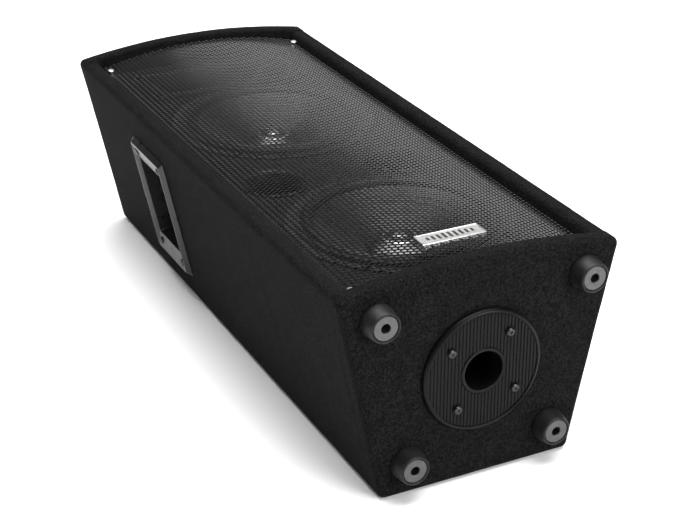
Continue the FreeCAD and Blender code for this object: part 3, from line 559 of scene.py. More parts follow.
def lathe(profile, segments, closed=True):
    # profile holds (radius, height) points; a radius of 0 makes a pole
    vertices = []
    faces = []
    rings = []
    for radius, height in profile:
        if radius < 1e-7:
            rings.append([len(vertices)])
            vertices.append(Vector((0, 0, height)))
            continue
        rings.append(list(range(len(vertices), len(vertices) + segments)))
        for step in range(segments):
            angle = 2 * math.pi * step / segments
            vertices.append(Vector((radius * math.cos(angle), radius * math.sin(angle), height)))
    pairs = list(zip(rings, rings[1:]))
    if closed and len(rings[0]) > 1 and len(rings[-1]) > 1:
        pairs.append((rings[-1], rings[0]))
    for lower, upper in pairs:
        if len(lower) == 1 and len(upper) == 1:
            continue
        for step in range(segments):
            after = (step + 1) % segments
            if len(lower) == 1:
                faces.append((lower[0], upper[after], upper[step]))
            elif len(upper) == 1:
                faces.append((lower[step], lower[after], upper[0]))
            else:
                faces.append((lower[step], lower[after], upper[after], upper[step]))
    return vertices, faces


def gather(parts):
    # joins several (vertices, faces) into one
    vertices = []
    faces = []
    for moreVertices, moreFaces in parts:
        start = len(vertices)
        vertices.extend(moreVertices)
        faces.extend(tuple(start + corner for corner in face) for face in moreFaces)
    return vertices, faces


def moved(part, place):
    vertices, faces = part
    return [place @ Vector(v) for v in vertices], faces


def roundedRing(halfX, halfY, radius, cornerSteps):
    # the points of a rectangle with round corners, anticlockwise from +X
    points = []
    radius = min(radius, halfX * 0.999, halfY * 0.999)
    for corner, (signX, signY) in enumerate(((1, 1), (-1, 1), (-1, -1), (1, -1))):
        for step in range(cornerSteps + 1):
            angle = math.pi / 2 * (corner + step / cornerSteps)
            x = signX * (halfX - radius) + radius * math.cos(angle)
            y = signY * (halfY - radius) + radius * math.sin(angle)
            points.append((x, y))
    return points


def loft(rings, capStart=False, capEnd=False, closed=False):
    # rings are equal lists of points, and neighbours are joined by quads
    count = len(rings[0])
    vertices = [Vector(point) for ring in rings for point in ring]
    faces = []
    for level in range(len(rings) if closed else len(rings) - 1):
        start = level * count
        above = (level + 1) % len(rings) * count
        for step in range(count):
            after = (step + 1) % count
            faces.append((start + step, start + after, above + after, above + step))
    if capStart:
        faces.append(tuple(reversed(range(count))))
    if capEnd:
        faces.append(tuple(range((len(rings) - 1) * count, len(rings) * count)))
    return vertices, faces


def placeAt(origin, across, up):
    # a placement whose X runs along across and whose Z runs along up
    zAxis = Vector(up).normalized()
    xAxis = Vector(across).normalized()
    yAxis = zAxis.cross(xAxis)
    place = Matrix((xAxis, yAxis, zAxis)).transposed().to_4x4()
    place.translation = Vector(origin)
    return place


def smoothStep(low, high, value):
    share = min(1, max(0, (value - low) / (high - low)))
    return share * share * (3 - 2 * share)


# the cabinet's own measures, read from the frame
sideLow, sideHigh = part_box("carpet_right")
backLow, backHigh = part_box("carpet_back")
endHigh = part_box("carpet_top")[1]
feltThickness = sizeOf("carpet_back").z
cabinet = {
    "halfFront": sideHigh.x,
    "halfBack": sideLow.x + 1.02 * feltThickness,
    "low": backLow.y,
    "high": backHigh.y,
    "depth": sideHigh.z,
    "rise": endHigh.z - sideHigh.z,
    "wall": 17.5 * mm,  # felt, board and the felt inside the rim
    "baffleZ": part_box("front_baffle")[1].z,
}
slope = (cabinet["halfFront"] - cabinet["halfBack"]) / cabinet["depth"]
lean = math.sqrt(1 + slope ** 2)
middleY = (cabinet["low"] + cabinet["high"]) / 2
halfLength = (cabinet["high"] - cabinet["low"]) / 2
rimArc = (cabinet["halfFront"] ** 2 + cabinet["rise"] ** 2) / (2 * cabinet["rise"])


def halfWidthAt(z):
    return cabinet["halfBack"] + slope * z


def arcRise(x):
    # how far the end panels' arc stands above the sides' front edge
    fromCentre = math.sqrt(max(0, rimArc ** 2 - x ** 2))
    return max(0, fromCentre - rimArc + cabinet["rise"])


carpet = {
    "edgeRadius": 7 * mm,  # the felt goes round every outer edge
    "rimRadius": 4.5 * mm,  # and round the rim's inner edge
    "cornerRadius": 6 * mm,
    "insideCorner": 2 * mm,
    "innerFoot": 0.3 * mm,  # how far above the baffle it ends inside the rim
    "step": 4 * mm,
    "nearStep": 1.3 * mm,  # beside the corners
    "wave": 0.2 * mm,  # the felt isn't glued quite flat
    "waveLength": 38 * mm,
    "riserWidth": 2.6 * mm,
    "backRows": 18,
    "wallRows": 34,
    "gap": 0.2 * mm,  # left round the connector plate
    "seam": 0.06 * mm,  # points nearer than this become one
    "sharpAngle": 60,
}
boards = {
    "under": 2 * mm,  # how deep under the felt's face the ply starts
    "thickness": 13.5 * mm,
    "step": 11 * mm,
    "nearStep": 3 * mm,
    "backRows": 8,
    "wallRows": 10,
    "sharpAngle": 40,
}
turn = {
    "backSteps": 6,  # round the back's edge
    "frontSteps": 7,  # round the front's edge
    "rimSteps": 6,
    "flatSteps": 3,
    "footSteps": 4,
    "cornerSteps": 6,
}


def spreadSteps(length, step, nearStep):
    # shares from 0 to 1 along a straight stretch, close together near both ends
    ends = 20 * mm
    points = []
    position = 0
    while position < length:
        points.append(position)
        fromEnd = min(position, length - position)
        position += nearStep if fromEnd < ends else step
    if length - points[-1] < nearStep * 0.6:
        points.pop()
    return [point / length for point in points]


def outerRows(edge, backRows, wallRows):
    # (inset, height, share of the arc's rise, corner radius in plan), from the back's middle to the rim
    depth = cabinet["depth"]
    corner = carpet["cornerRadius"]
    rows = []
    for step in range(backRows):
        inset = edge + (cabinet["halfBack"] - edge) * (1 - step / backRows)
        rows.append((inset, 0, 0, max(corner - inset, 0.5 * mm)))
    for step in range(turn["backSteps"] + 1):
        angle = math.pi / 2 * step / turn["backSteps"]
        inset = edge * (1 - math.sin(angle))
        rows.append((inset, edge * (1 - math.cos(angle)), 0, max(corner - inset, 0.5 * mm)))
    for step in range(1, wallRows + 1):
        share = step / wallRows
        rows.append((0, edge + (depth - 2 * edge) * share, share, corner))
    for step in range(1, turn["frontSteps"] + 1):
        angle = math.pi / 2 * step / turn["frontSteps"]
        inset = edge * (1 - math.cos(angle))
        rows.append((inset, depth - edge * (1 - math.sin(angle)), 1, max(corner - inset, 1 * mm)))
    return rows


def rimRows():
    # over the flat of the rim, round its inner edge and down to the baffle
    edge = carpet["edgeRadius"]
    rim = carpet["rimRadius"]
    wall = cabinet["wall"]
    depth = cabinet["depth"]
    rows = []
    flat = wall - edge - rim
    for step in range(1, turn["flatSteps"] + 1):
        rows.append((edge + flat * step / turn["flatSteps"], depth, 1, 1.5 * mm))
    for step in range(1, turn["rimSteps"] + 1):
        angle = math.pi / 2 * step / turn["rimSteps"]
        inset = wall - rim * (1 - math.sin(angle))
        rows.append((inset, depth - rim * (1 - math.cos(angle)), 1, carpet["insideCorner"]))
    foot = cabinet["baffleZ"] + carpet["innerFoot"]
    top = depth - rim
    for step in range(1, turn["footSteps"] + 1):
        share = step / turn["footSteps"]
        rows.append((wall, top + (foot - top) * share, 1 - share, carpet["insideCorner"]))
    return rows


def wrapCabinet(rows, under, farStep, nearStep):
    # one skin round the cabinet, under deep below its outer face
    sideShares = spreadSteps(2 * halfLength, farStep, nearStep)
    endShares = spreadSteps(2 * cabinet["halfFront"], farStep, nearStep)
    riserEnd = halfLength - cabinet["wall"]
    rings = []
    for inset, height, share, corner in rows:
        inset += under
        height = min(max(height, under), cabinet["depth"] - under)
        onWall = height > carpet["edgeRadius"]
        halfX = max(halfWidthAt(height) - inset * (lean if onWall else 1), 0.02 * mm)
        halfY = halfLength - inset
        corner = min(corner, halfX * 0.9)
        endX, endY = halfX - corner, halfY - corner
        # up the +X side, across the +Y end, down the -X side and back, with a round corner after each
        stretches = (
            ((halfX, -endY), (halfX, endY), sideShares, (endX, endY)),
            ((endX, halfY), (-endX, halfY), endShares, (-endX, endY)),
            ((-halfX, endY), (-halfX, -endY), sideShares, (-endX, -endY)),
            ((-endX, -halfY), (endX, -halfY), endShares, (endX, -endY)),
        )
        plan = []
        for quarter, (start, end, shares, centre) in enumerate(stretches):
            for at in shares:
                plan.append((start[0] + (end[0] - start[0]) * at, start[1] + (end[1] - start[1]) * at))
            for step in range(turn["cornerSteps"]):
                angle = math.pi / 2 * (quarter + step / turn["cornerSteps"])
                plan.append((centre[0] + corner * math.cos(angle), centre[1] + corner * math.sin(angle)))
        ring = []
        for x, y in plan:
            onEnd = smoothStep(riserEnd - carpet["riserWidth"], riserEnd, abs(y))
            ring.append(Vector((x, y + middleY, height + share * onEnd * arcRise(x))))
        rings.append(ring)
    return loft(rings)


def waveCarpet(piece):
    normals = [vertex.normal.copy() for vertex in piece.data.vertices]
    for vertex, normal in zip(piece.data.vertices, normals):
        at = vertex.co / carpet["waveLength"]
        lift = noise.noise(at) + 0.5 * noise.noise(at * 2.3)
        vertex.co += normal * (min(lift, 1) - 1) * carpet["wave"]
        vertex.co.z = max(vertex.co.z, 0)


handleLow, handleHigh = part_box("handle_right")
socketMiddle = middleOf("pole_socket")
plateLow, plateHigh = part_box("connector_plate")
opening = {
    "handleInY": 3 * mm,  # how far inside each flange the skin stops
    "handleInZ": 13 * mm,
    "handleDepth": 6 * mm,
    "socketRadius": 50 * mm,
    "socketDepth": 4 * mm,
    "plateIn": 10 * mm,
    "plateDepth": 3 * mm,
}


def underHandle(point):
    inY = handleLow.y + opening["handleInY"] < point.y < handleHigh.y - opening["handleInY"]
    inZ = handleLow.z + opening["handleInZ"] < point.z < handleHigh.z - opening["handleInZ"]
    return inY and inZ and abs(point.x) > halfWidthAt(point.z) - opening["handleDepth"]


def underSocket(point):
    fromAxis = math.hypot(point.x - socketMiddle.x, point.z - socketMiddle.z)
    return point.y < cabinet["low"] + opening["socketDepth"] and fromAxis < opening["socketRadius"]


def underPlate(point):
    inX = plateLow.x + opening["plateIn"] < point.x < plateHigh.x - opening["plateIn"]
    inY = plateLow.y + opening["plateIn"] < point.y < plateHigh.y - opening["plateIn"]
    return inX and inY and point.z < opening["plateDepth"]


def openSkin(piece):
    # the skin is cut away under each fitting, inside the edge of its flange
    work = bmesh.new()
    work.from_mesh(piece.data)
    gone = []
    for face in work.faces:
        point = face.calc_center_median()
        if underHandle(point) or underSocket(point) or underPlate(point):
            gone.append(face)
    bmesh.ops.delete(work, geom=gone, context="FACES")
    work.to_mesh(piece.data)
    work.free()


outerSkin = outerRows(carpet["edgeRadius"], carpet["backRows"], carpet["wallRows"])
carpetPart = wrapCabinet(outerSkin + rimRows(), 0, carpet["step"], carpet["nearStep"])
carpetShell = makePiece("carpetShell", carpetPart, None, felt, carpet["sharpAngle"], carpet["seam"])
openSkin(carpetShell)
waveCarpet(carpetShell)
solidify(carpetShell, feltThickness)
plateGap = sizeOf("connector_plate").xy / 2 + Vector((carpet["gap"], carpet["gap"]))
plateRings = []
for height in (-5 * mm, 5 * mm):
    ring = roundedRing(plateGap.x, plateGap.y, 5 * mm, 4)
    plateRings.append([(x, y + middleOf("connector_plate").y, height) for x, y in ring])
carve(carpetShell, loft(plateRings, True, True))
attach(carpetShell, "cabinet")
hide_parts("carpet_left", "carpet_right", "carpet_top", "carpet_bottom", "carpet_back")
print("carpet laid")

boardRows = outerRows(carpet["edgeRadius"] - boards["under"], boards["backRows"], boards["wallRows"])
boardRows.append((cabinet["wall"] - 2 * boards["under"], cabinet["depth"], 1, 1 * mm))
boardPart = wrapCabinet(boardRows, boards["under"], boards["step"], boards["nearStep"])
plywoodShell = makePiece("plywoodShell", boardPart, None, bareWood, boards["sharpAngle"],
                         carpet["seam"])
openSkin(plywoodShell)
solidify(plywoodShell, boards["thickness"])
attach(plywoodShell, "cabinet")
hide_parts("side_panel_left", "side_panel_right", "top_panel", "bottom_panel", "back_panel")
print("boards joined")

grilleLow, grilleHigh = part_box("grille")
grille = {
    "pitch": 5.2 * mm,
    "hole": 2.05 * mm,  # radius
    "holeSides": 12,
    "rim": 0.25 * mm,  # the punch rounds each hole's edge
    "sheet": 0.8 * mm,
    "arcRadius": 446 * mm,
    "columns": 24,  # on each side of the middle one
    "bend": 1.4 * mm,
    "bendSteps": 3,
    "margin": 4.5 * mm,
    "plainEdge": 0.3 * mm,
    "sharpAngle": 32,
}
grilleMiddleY = (grilleLow.y + grilleHigh.y) / 2
cellY = grille["pitch"] / 2
halfRows = int(((grilleHigh.y - grilleLow.y) / 2 - grille["margin"]) / grille["pitch"])
edgeColumn = 3 * grille["columns"] + 2
cellX = (grilleHigh.x - grille["bend"] - grille["plainEdge"]) / edgeColumn
edgeRow = 2 * halfRows + 1


def grilleHeight(x):
    return grilleHigh.z - grille["arcRadius"] + math.sqrt(grille["arcRadius"] ** 2 - x ** 2)


def snapToEdge(value, edge):
    # the outermost cells end in a straight line
    return int(math.copysign(edge, value)) if abs(value) >= edge - 1 else value


def perforatedSheet(fromRow, toRow):
    # a hexagonal cell round each hole; corners are counted in cell units, so that neighbours share them
    corners = {}
    vertices = []
    faces = []
    sides = grille["holeSides"]
    hexagon = ((2, 0), (1, 1), (-1, 1), (-2, 0), (-1, -1), (1, -1))
    holeRings = (
        (grille["hole"] + grille["rim"], 0),
        (grille["hole"], -grille["rim"]),
        (grille["hole"], -grille["sheet"]),
    )
    for column in range(-grille["columns"], grille["columns"] + 1):
        for row in range(fromRow, toRow):
            middleColumn = 3 * column
            middleRow = 2 * row + column % 2
            if abs(middleRow) > 2 * halfRows:
                continue
            cell = []
            for across, up in hexagon:
                key = (snapToEdge(middleColumn + across, edgeColumn), snapToEdge(middleRow + up, edgeRow))
                if key not in corners:
                    corners[key] = len(vertices)
                    x, y = key[0] * cellX, grilleMiddleY + key[1] * cellY
                    vertices.append(Vector((x, y, grilleHeight(x))))
                    vertices.append(Vector((x, y, grilleHeight(x) - grille["sheet"])))
                cell.append(corners[key])
            first = len(vertices)
            for radius, drop in holeRings:
                for step in range(sides):
                    angle = 2 * math.pi * step / sides
                    x = middleColumn * cellX + radius * math.cos(angle)
                    y = grilleMiddleY + middleRow * cellY + radius * math.sin(angle)
                    vertices.append(Vector((x, y, grilleHeight(x) + drop)))
            for level in range(len(holeRings) - 1):
                start = first + level * sides
                for step in range(sides):
                    after = (step + 1) % sides
                    faces.append((start + step, start + after, start + sides + after, start + sides + step))
            for side in range(6):
                for under, start in ((0, first), (1, first + 2 * sides)):
                    here, there = cell[side] + under, cell[(side + 1) % 6] + under
                    rim = [start + (2 * side + step) % sides for step in range(3)]
                    faces.append((here, rim[1], rim[0]))
                    faces.append((there, rim[2], rim[1]))
                    if here != there:
                        faces.append((here, there, rim[1]))
    return vertices, faces, corners


def foldedEdge(sheet, sign):
    # the plain margin and the edges that are folded down; sign is the end that this section reaches, or 0
    vertices, faces, corners = sheet
    bend, thickness = grille["bend"], grille["sheet"]
    flatX = grilleHigh.x - bend
    flatY = (grilleHigh.y - grilleLow.y) / 2 - bend
    profile = [(0, 0, 0)]
    for step in range(1, grille["bendSteps"] + 1):
        angle = math.pi / 2 * step / grille["bendSteps"]
        profile.append((bend * math.sin(angle), bend * (1 - math.cos(angle)), angle))
    profile.append((bend, grilleHeight(flatX) - grilleLow.z, math.pi / 2))
    right = sorted(key for key in corners if key[0] == edgeColumn)
    left = sorted(key for key in corners if key[0] == -edgeColumn)
    lines = [right, left]
    if sign:
        ends = sorted((key for key in corners if key[1] == sign * edgeRow and abs(key[0]) < edgeColumn),
                      reverse=True)
        lines = [right[::sign] + ends + left[::-sign]]
    for line in lines:
        skins = []
        for under in (0, 1):
            previous = [corners[key] + under for key in line]
            for out, down, angle in profile:
                out -= under * thickness * math.sin(angle)
                down += under * thickness * math.cos(angle)
                current = []
                for column, row in line:
                    x, y = column * cellX, row * cellY
                    if abs(column) == edgeColumn:
                        x = math.copysign(flatX + out, column)
                    if abs(row) == edgeRow:
                        y = math.copysign(flatY + out, row)
                    current.append(len(vertices))
                    height = grilleHeight(min(abs(x), flatX)) - down
                    vertices.append(Vector((x, y + grilleMiddleY, max(height, grilleLow.z))))
                for step in range(len(line) - 1):
                    faces.append((previous[step], current[step], current[step + 1], previous[step + 1]))
                previous = current
            skins.append(previous)
        outer, inner = skins
        for step in range(len(line) - 1):
            faces.append((outer[step], inner[step], inner[step + 1], outer[step + 1]))
    return vertices, faces


thirdRows = halfRows // 3
for name, fromRow, toRow, sign in (
    ("grilleNearThird", -halfRows, -thirdRows, -1),
    ("grilleMiddleThird", -thirdRows, thirdRows, 0),
    ("grilleFarThird", thirdRows, halfRows + 1, 1),
):
    section = makePiece(name, foldedEdge(perforatedSheet(fromRow, toRow), sign), "cabinet", grillePaint,
                        grille["sharpAngle"])
    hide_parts("grille")
print("grille punched")

screw = {
    "head": 3.9 * mm,
    "rise": 2.4 * mm,
    "shank": 1.9 * mm,
    "length": 12 * mm,
    "recess": 1.3 * mm,
    "slot": 0.95 * mm,
    "slotLength": 4.4 * mm,
    "segments": 24,
    "firstTurn": 35,  # degrees; each screw stops a different way round
    "nextTurn": 67,
}


def crossHeadScrew():
    # a pan head with a cross recess, standing on z = 0
    head, rise, shank, length = screw["head"], screw["rise"], screw["shank"], screw["length"]
    profile = [
        (0, -length), (shank * 0.5, -length + 0.6 * mm), (shank, -length + 3 * mm), (shank, 0),
        (head * 0.96, 0), (head, 0.25 * mm), (head, rise * 0.35), (head * 0.95, rise * 0.6),
        (head * 0.82, rise * 0.83), (head * 0.6, rise * 0.95), (head * 0.3, rise), (0, rise),
    ]
    piece = makePiece("screwMaster", lathe(profile, screw["segments"], False), None, screwSteel)
    top, deep = rise + 0.5 * mm, rise - screw["recess"]
    slot, slotLength = screw["slot"], screw["slotLength"]
    for quarter in (0, math.pi / 2):
        wide = [(x, y, top) for x, y in roundedRing(slotLength / 2, slot / 2, 0.2 * mm, 2)]
        narrow = [(x, y, deep) for x, y in roundedRing(slotLength / 4, slot / 3, 0.1 * mm, 2)]
        carve(piece, moved(loft([narrow, wide], True, True), Matrix.Rotation(quarter, 4, "Z")))
    part = [v.co.copy() for v in piece.data.vertices], [tuple(face.vertices) for face in piece.data.polygons]
    bpy.data.objects.remove(piece)
    return part


masterScrew = crossHeadScrew()


def screwSeats(node, across, up):
    # where each of a node's screws sits: the middle of each loose part, at its head's underside
    up = Vector(up).normalized()
    across = Vector(across).normalized()
    third = up.cross(across)
    work = bmesh.new()
    work.from_mesh(nodes[node].data)
    bmesh.ops.remove_doubles(work, verts=work.verts, dist=0.001 * mm)
    left = set(work.verts)
    seats = []
    while left:
        stack = [left.pop()]
        island = []
        while stack:
            vertex = stack.pop()
            island.append(vertex.co.copy())
            for edge in vertex.link_edges:
                other = edge.other_vert(vertex)
                if other in left:
                    left.discard(other)
                    stack.append(other)
        spot = up * (max(point.dot(up) for point in island) - screw["rise"])
        for direction in (across, third):
            reach = [point.dot(direction) for point in island]
            spot += direction * (min(reach) + max(reach)) / 2
        seats.append(spot)
    work.free()
    return sorted(seats, key=lambda seat: (round(seat.y, 4), round(seat.x, 4), seat.z))


def driveScrews(name, node, seats, across, up, material, slotName):
    parts = []
    for number, seat in enumerate(seats):
        twist = Matrix.Rotation(math.radians(screw["firstTurn"] + screw["nextTurn"] * number), 4, "Z")
        parts.append(moved(masterScrew, placeAt(seat, across, up) @ twist))
    piece = makePiece(name, gather(parts), "cabinet", material)
    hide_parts(node)


faceUp = ((1, 0, 0), (0, 0, 1))
faceDown = ((1, 0, 0), (0, -1, 0))  # out of the bottom end
faceBack = ((1, 0, 0), (0, 0, -1))
for name, node, facing, material in (
    ("grilleScrews", "grille_screws", faceUp, screwSteel),
    ("wooferScrews", "woofer_screws", faceUp, darkSteel),
    ("hornScrews", "horn_screws", faceUp, darkSteel),
    ("socketScrews", "pole_socket_screws", faceDown, darkSteel),
    ("footScrews", "foot_screws", faceDown, screwSteel),
    ("plateScrews", "connector_screws", faceBack, darkSteel),
):
    driveScrews(name, node, screwSeats(node, *facing), *facing, material, "screw_steel")
print("screws driven")

badge = {
    "corner": 0.8 * mm,
    "border": 1.1 * mm,
    "sunk": 0.3 * mm,
    "chamfer": 0.35 * mm,
    "bars": 9,  # a plain level meter, in place of a name
    "barWidth": 2.6 * mm,
    "barPitch": 5.4 * mm,
    "barLow": 2.5 * mm,
    "barHigh": 10 * mm,
    "barProud": 0.12 * mm,
    "barCorner": 0.4 * mm,
    "firstSwell": 0.12,  # where on half a wave the first bar's length lies
    "swellSpan": 0.76,
}
badgeLow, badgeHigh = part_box("badge")
badgeHalf = (badgeHigh - badgeLow) / 2
badgeMiddle = middleOf("badge")


def badgeRing(inset, height):
    ring = roundedRing(badgeHalf.x - inset, badgeHalf.y - inset, badge["corner"], 3)
    return [(badgeMiddle.x + x, badgeMiddle.y + y, height) for x, y in ring]


badgeFloor = badgeHigh.z - badge["sunk"]
badgePlate = makePiece("badgePlate", loft([
    badgeRing(0, badgeLow.z),
    badgeRing(0, badgeHigh.z - badge["chamfer"]),
    badgeRing(badge["chamfer"], badgeHigh.z),
    badgeRing(badge["border"], badgeHigh.z),
    badgeRing(badge["border"] + badge["sunk"], badgeFloor),
], True, True), "cabinet", badgeMetal)
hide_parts("badge")
bars = []
for number in range(badge["bars"]):
    share = number / (badge["bars"] - 1)
    x = badgeMiddle.x + (number - (badge["bars"] - 1) / 2) * badge["barPitch"]
    swell = math.sin(math.pi * (badge["firstSwell"] + badge["swellSpan"] * share))
    length = badge["barLow"] + (badge["barHigh"] - badge["barLow"]) * swell
    rings = []
    for inset, height in ((0, badgeFloor - 0.1 * mm), (0, badgeFloor + 0.05 * mm),
                          (0.08 * mm, badgeFloor + badge["barProud"])):
        ring = roundedRing(badge["barWidth"] / 2 - inset, length / 2 - inset, badge["barCorner"], 3)
        rings.append([(x + across, badgeMiddle.y + up, height) for across, up in ring])
    bars.append(loft(rings, True, True))
makePiece("badgeBars", gather(bars), "cabinet", handlePlastic)
print("badge set")

cone = {
    "ribs": 6,
    "ribHeight": 0.5 * mm,
    "ribWidth": 1.6 * mm,
    "firstRib": 0.42,  # share of the way out from the coil
    "ribSpan": 0.5,
    "ribFall": 2.2,  # how steeply a rib's sides fall
    "sheet": 0.8 * mm,
    "flare": 1.25,  # above 1 the cone is steeper towards its rim
    "overCoil": 0.6 * mm,
    "steps": 72,
    "segments": 96,
}
cap = {
    "sheet": 0.8 * mm,
    "ringRadius": 15 * mm,
    "ringWidth": 2.2 * mm,
    "ringProud": 0.5 * mm,
    "buttonRadius": 7 * mm,
    "skirt": 0.3 * mm,
    "steps": 18,
}
soft = {
    "sectors": 12,  # the roll and the spider are each built in this many separate sectors
    "stepsPerSector": 8,
    "rollSheet": 0.6 * mm,
    "rollSteps": 14,
    "gasketGap": 0.4 * mm,
    "gasketEdge": 0.8 * mm,
    "gasketSegments": 128,
    "spiderWaves": 6,
    "spiderWave": 1.1 * mm,
    "spiderSheet": 0.5 * mm,
    "spiderSteps": 72,
    "spiderGap": 0.1 * mm,  # left round the coil
}


def conePart(innerRadius, outerRadius, low, high):
    top = []
    for step in range(cone["steps"] + 1):
        share = step / cone["steps"]
        radius = innerRadius + (outerRadius - innerRadius) * share
        height = low + (high - low) * share ** cone["flare"]
        for number in range(cone["ribs"]):
            ribAt = cone["firstRib"] + cone["ribSpan"] * number / (cone["ribs"] - 1)
            away = (share - ribAt) * (outerRadius - innerRadius) / cone["ribWidth"]
            height += cone["ribHeight"] * math.exp(-(cone["ribFall"] * away) ** 2)
        top.append((radius, height))
    below = [(radius, height - cone["sheet"]) for radius, height in reversed(top)]
    return lathe(top + below, cone["segments"])


def domeHeight(radius, edgeRadius, rise):
    ball = (edgeRadius ** 2 + rise ** 2) / (2 * rise)
    return math.sqrt(ball ** 2 - radius ** 2) - (ball - rise)


def domePart(edgeRadius, low, rise):
    top = []
    for step in range(cap["steps"] + 1):
        radius = edgeRadius * (1 - step / cap["steps"])
        top.append((radius, low + domeHeight(radius, edgeRadius, rise)))
    rim = [(edgeRadius, low - cap["skirt"]), (edgeRadius - cap["sheet"], low - cap["skirt"])]
    below = []
    for radius, height in reversed(top):
        if radius < edgeRadius - cap["sheet"]:
            below.append((radius, height - cap["sheet"]))
    return lathe(list(reversed(below + rim + top)), cone["segments"], False)


def ringOnDome(radius, halfWidth, low, edgeRadius, rise):
    profile = []
    for across, up in ((-1, -0.6), (-0.85, 0.7), (-0.5, 1), (0.5, 1), (0.85, 0.7), (1, -0.6)):
        at = max(0, radius + across * halfWidth)
        profile.append((at, low + domeHeight(at, edgeRadius, rise) + up * cap["ringProud"]))
    return lathe(profile, cone["segments"])


def buttonOnDome(radius, low, edgeRadius, rise):
    top = low + rise + cap["ringProud"]
    sunk = low + domeHeight(radius, edgeRadius, rise) - cap["ringProud"]
    profile = [(0, sunk), (radius, sunk), (radius, top - 0.9 * mm), (radius * 0.85, top - 0.3 * mm),
               (radius * 0.5, top), (0, top)]
    return lathe(profile, cone["segments"], False)


def sectorPart(profile, fromAngle, toAngle):
    # a closed (radius, height) profile swept through part of a turn, with its ends closed
    rings = []
    for step in range(soft["stepsPerSector"] + 1):
        angle = fromAngle + (toAngle - fromAngle) * step / soft["stepsPerSector"]
        rings.append([(r * math.cos(angle), r * math.sin(angle), z) for r, z in profile])
    return loft(rings, True, True)


def surroundProfile(innerRadius, outerRadius, low, high):
    roll = (outerRadius - innerRadius) / 2
    centre = (outerRadius + innerRadius) / 2
    thin = soft["rollSheet"]
    outer = []
    inner = []
    for step in range(soft["rollSteps"] + 1):
        angle = math.pi * step / soft["rollSteps"]
        outer.append((centre + roll * math.cos(angle), low + (high - low) * math.sin(angle)))
        inner.append((centre + (roll - thin) * math.cos(angle), low + (high - low - thin) * math.sin(angle)))
    return outer + inner[::-1]


def spiderProfile(innerRadius, outerRadius, low):
    top = []
    for step in range(soft["spiderSteps"] + 1):
        share = step / soft["spiderSteps"]
        fade = math.sin(math.pi * share) ** 0.5
        wave = math.sin(2 * math.pi * soft["spiderWaves"] * share) * soft["spiderWave"] * fade
        top.append((innerRadius + (outerRadius - innerRadius) * share, low + soft["spiderWave"] + wave))
    below = [(radius, height - soft["spiderSheet"]) for radius, height in reversed(top)]
    return top + below


def softSectors(name, profile, centre, material, node):
    width = 2 * math.pi / soft["sectors"]
    for number in range(soft["sectors"]):
        middleAngle = number * width
        sector = sectorPart(profile, middleAngle - width / 2, middleAngle + width / 2)
        piece = makePiece(f"{name}{number + 1}", moved(sector, Matrix.Translation(centre)), None, material)
        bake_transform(piece)
        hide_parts(node)


for spot in ("upper", "lower"):
    body = f"{spot}_cone_assembly"
    axis = middleOf(f"{spot}_cone")
    centre = Vector((axis.x, axis.y, 0))
    place = Matrix.Translation(centre)
    coneLow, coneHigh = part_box(f"{spot}_cone")
    coilRadius = sizeOf(f"{spot}_voice_coil").x / 2
    coneRadius = (coneHigh.x - coneLow.x) / 2
    conePiece = makePiece(f"{spot}Cone", moved(
        conePart(coilRadius - cone["overCoil"], coneRadius, coneLow.z + cone["sheet"], coneHigh.z), place,
    ), body, conePaper)
    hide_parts(f"{spot}_cone")

    capLow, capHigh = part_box(f"{spot}_dust_cap")
    capRadius = (capHigh.x - capLow.x) / 2
    capRise = capHigh.z - capLow.z
    dustCap = makePiece(f"{spot}DustCap", moved(domePart(capRadius, capLow.z, capRise), place), body,
                        capMetal)
    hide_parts(f"{spot}_dust_cap")
    rings = gather([
        ringOnDome(cap["ringRadius"], cap["ringWidth"] / 2, capLow.z, capRadius, capRise),
        buttonOnDome(cap["buttonRadius"], capLow.z, capRadius, capRise),
    ])
    makePiece(f"{spot}CapTrim", moved(rings, place), body, badgeMetal)

    gasketLow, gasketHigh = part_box(f"{spot}_gasket")
    outer = (gasketHigh.x - gasketLow.x) / 2
    inner = sizeOf(f"{spot}_surround").x / 2 + soft["gasketGap"]
    soften = soft["gasketEdge"]
    gasketPiece = makePiece(f"{spot}Gasket", moved(lathe([
        (inner, gasketLow.z), (outer, gasketLow.z), (outer, gasketHigh.z - soften),
        (outer - soften * 0.3, gasketHigh.z - soften * 0.3), (outer - soften, gasketHigh.z),
        (inner + soften, gasketHigh.z), (inner + soften * 0.3, gasketHigh.z - soften * 0.3),
        (inner, gasketHigh.z - soften),
    ], soft["gasketSegments"]), place), "cabinet", gasketFoam)
    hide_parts(f"{spot}_gasket")

    surroundLow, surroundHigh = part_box(f"{spot}_surround")
    outer = (surroundHigh.x - surroundLow.x) / 2
    inner = outer - 2 * (surroundHigh.z - surroundLow.z)
    profile = surroundProfile(inner, outer, surroundLow.z, surroundHigh.z)
    softSectors(f"{spot}Surround", profile, centre, rollRubber,
                f"{spot}_surround")

    spiderLow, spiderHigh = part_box(f"{spot}_spider")
    outer = (spiderHigh.x - spiderLow.x) / 2
    inner = coilRadius + soft["spiderGap"]
    softSectors(f"{spot}Spider", spiderProfile(inner, outer, spiderLow.z), centre,
                spiderCloth, f"{spot}_spider")
print("woofers built")

horn = {
    "throatRadius": 12.5 * mm,
    "mouth": (76 * mm, 27 * mm),
    "corner": 9 * mm,
    "flangeCorner": 7 * mm,
    "wall": 2.5 * mm,
    "depth": 75 * mm,
    "flare": 1.7,
    "outsideSteps": 5,
    "insideSteps": 20,
    "edge": 1.2 * mm,  # the flange's round
    "mouthEdge": 1.5 * mm,
}
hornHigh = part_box("horn")[1]
hornMiddle = Vector((middleOf("horn").x, middleOf("horn").y, cabinet["baffleZ"]))
flangeX, flangeY = sizeOf("horn").x / 2, sizeOf("horn").y / 2
flangeZ = hornHigh.z - cabinet["baffleZ"]


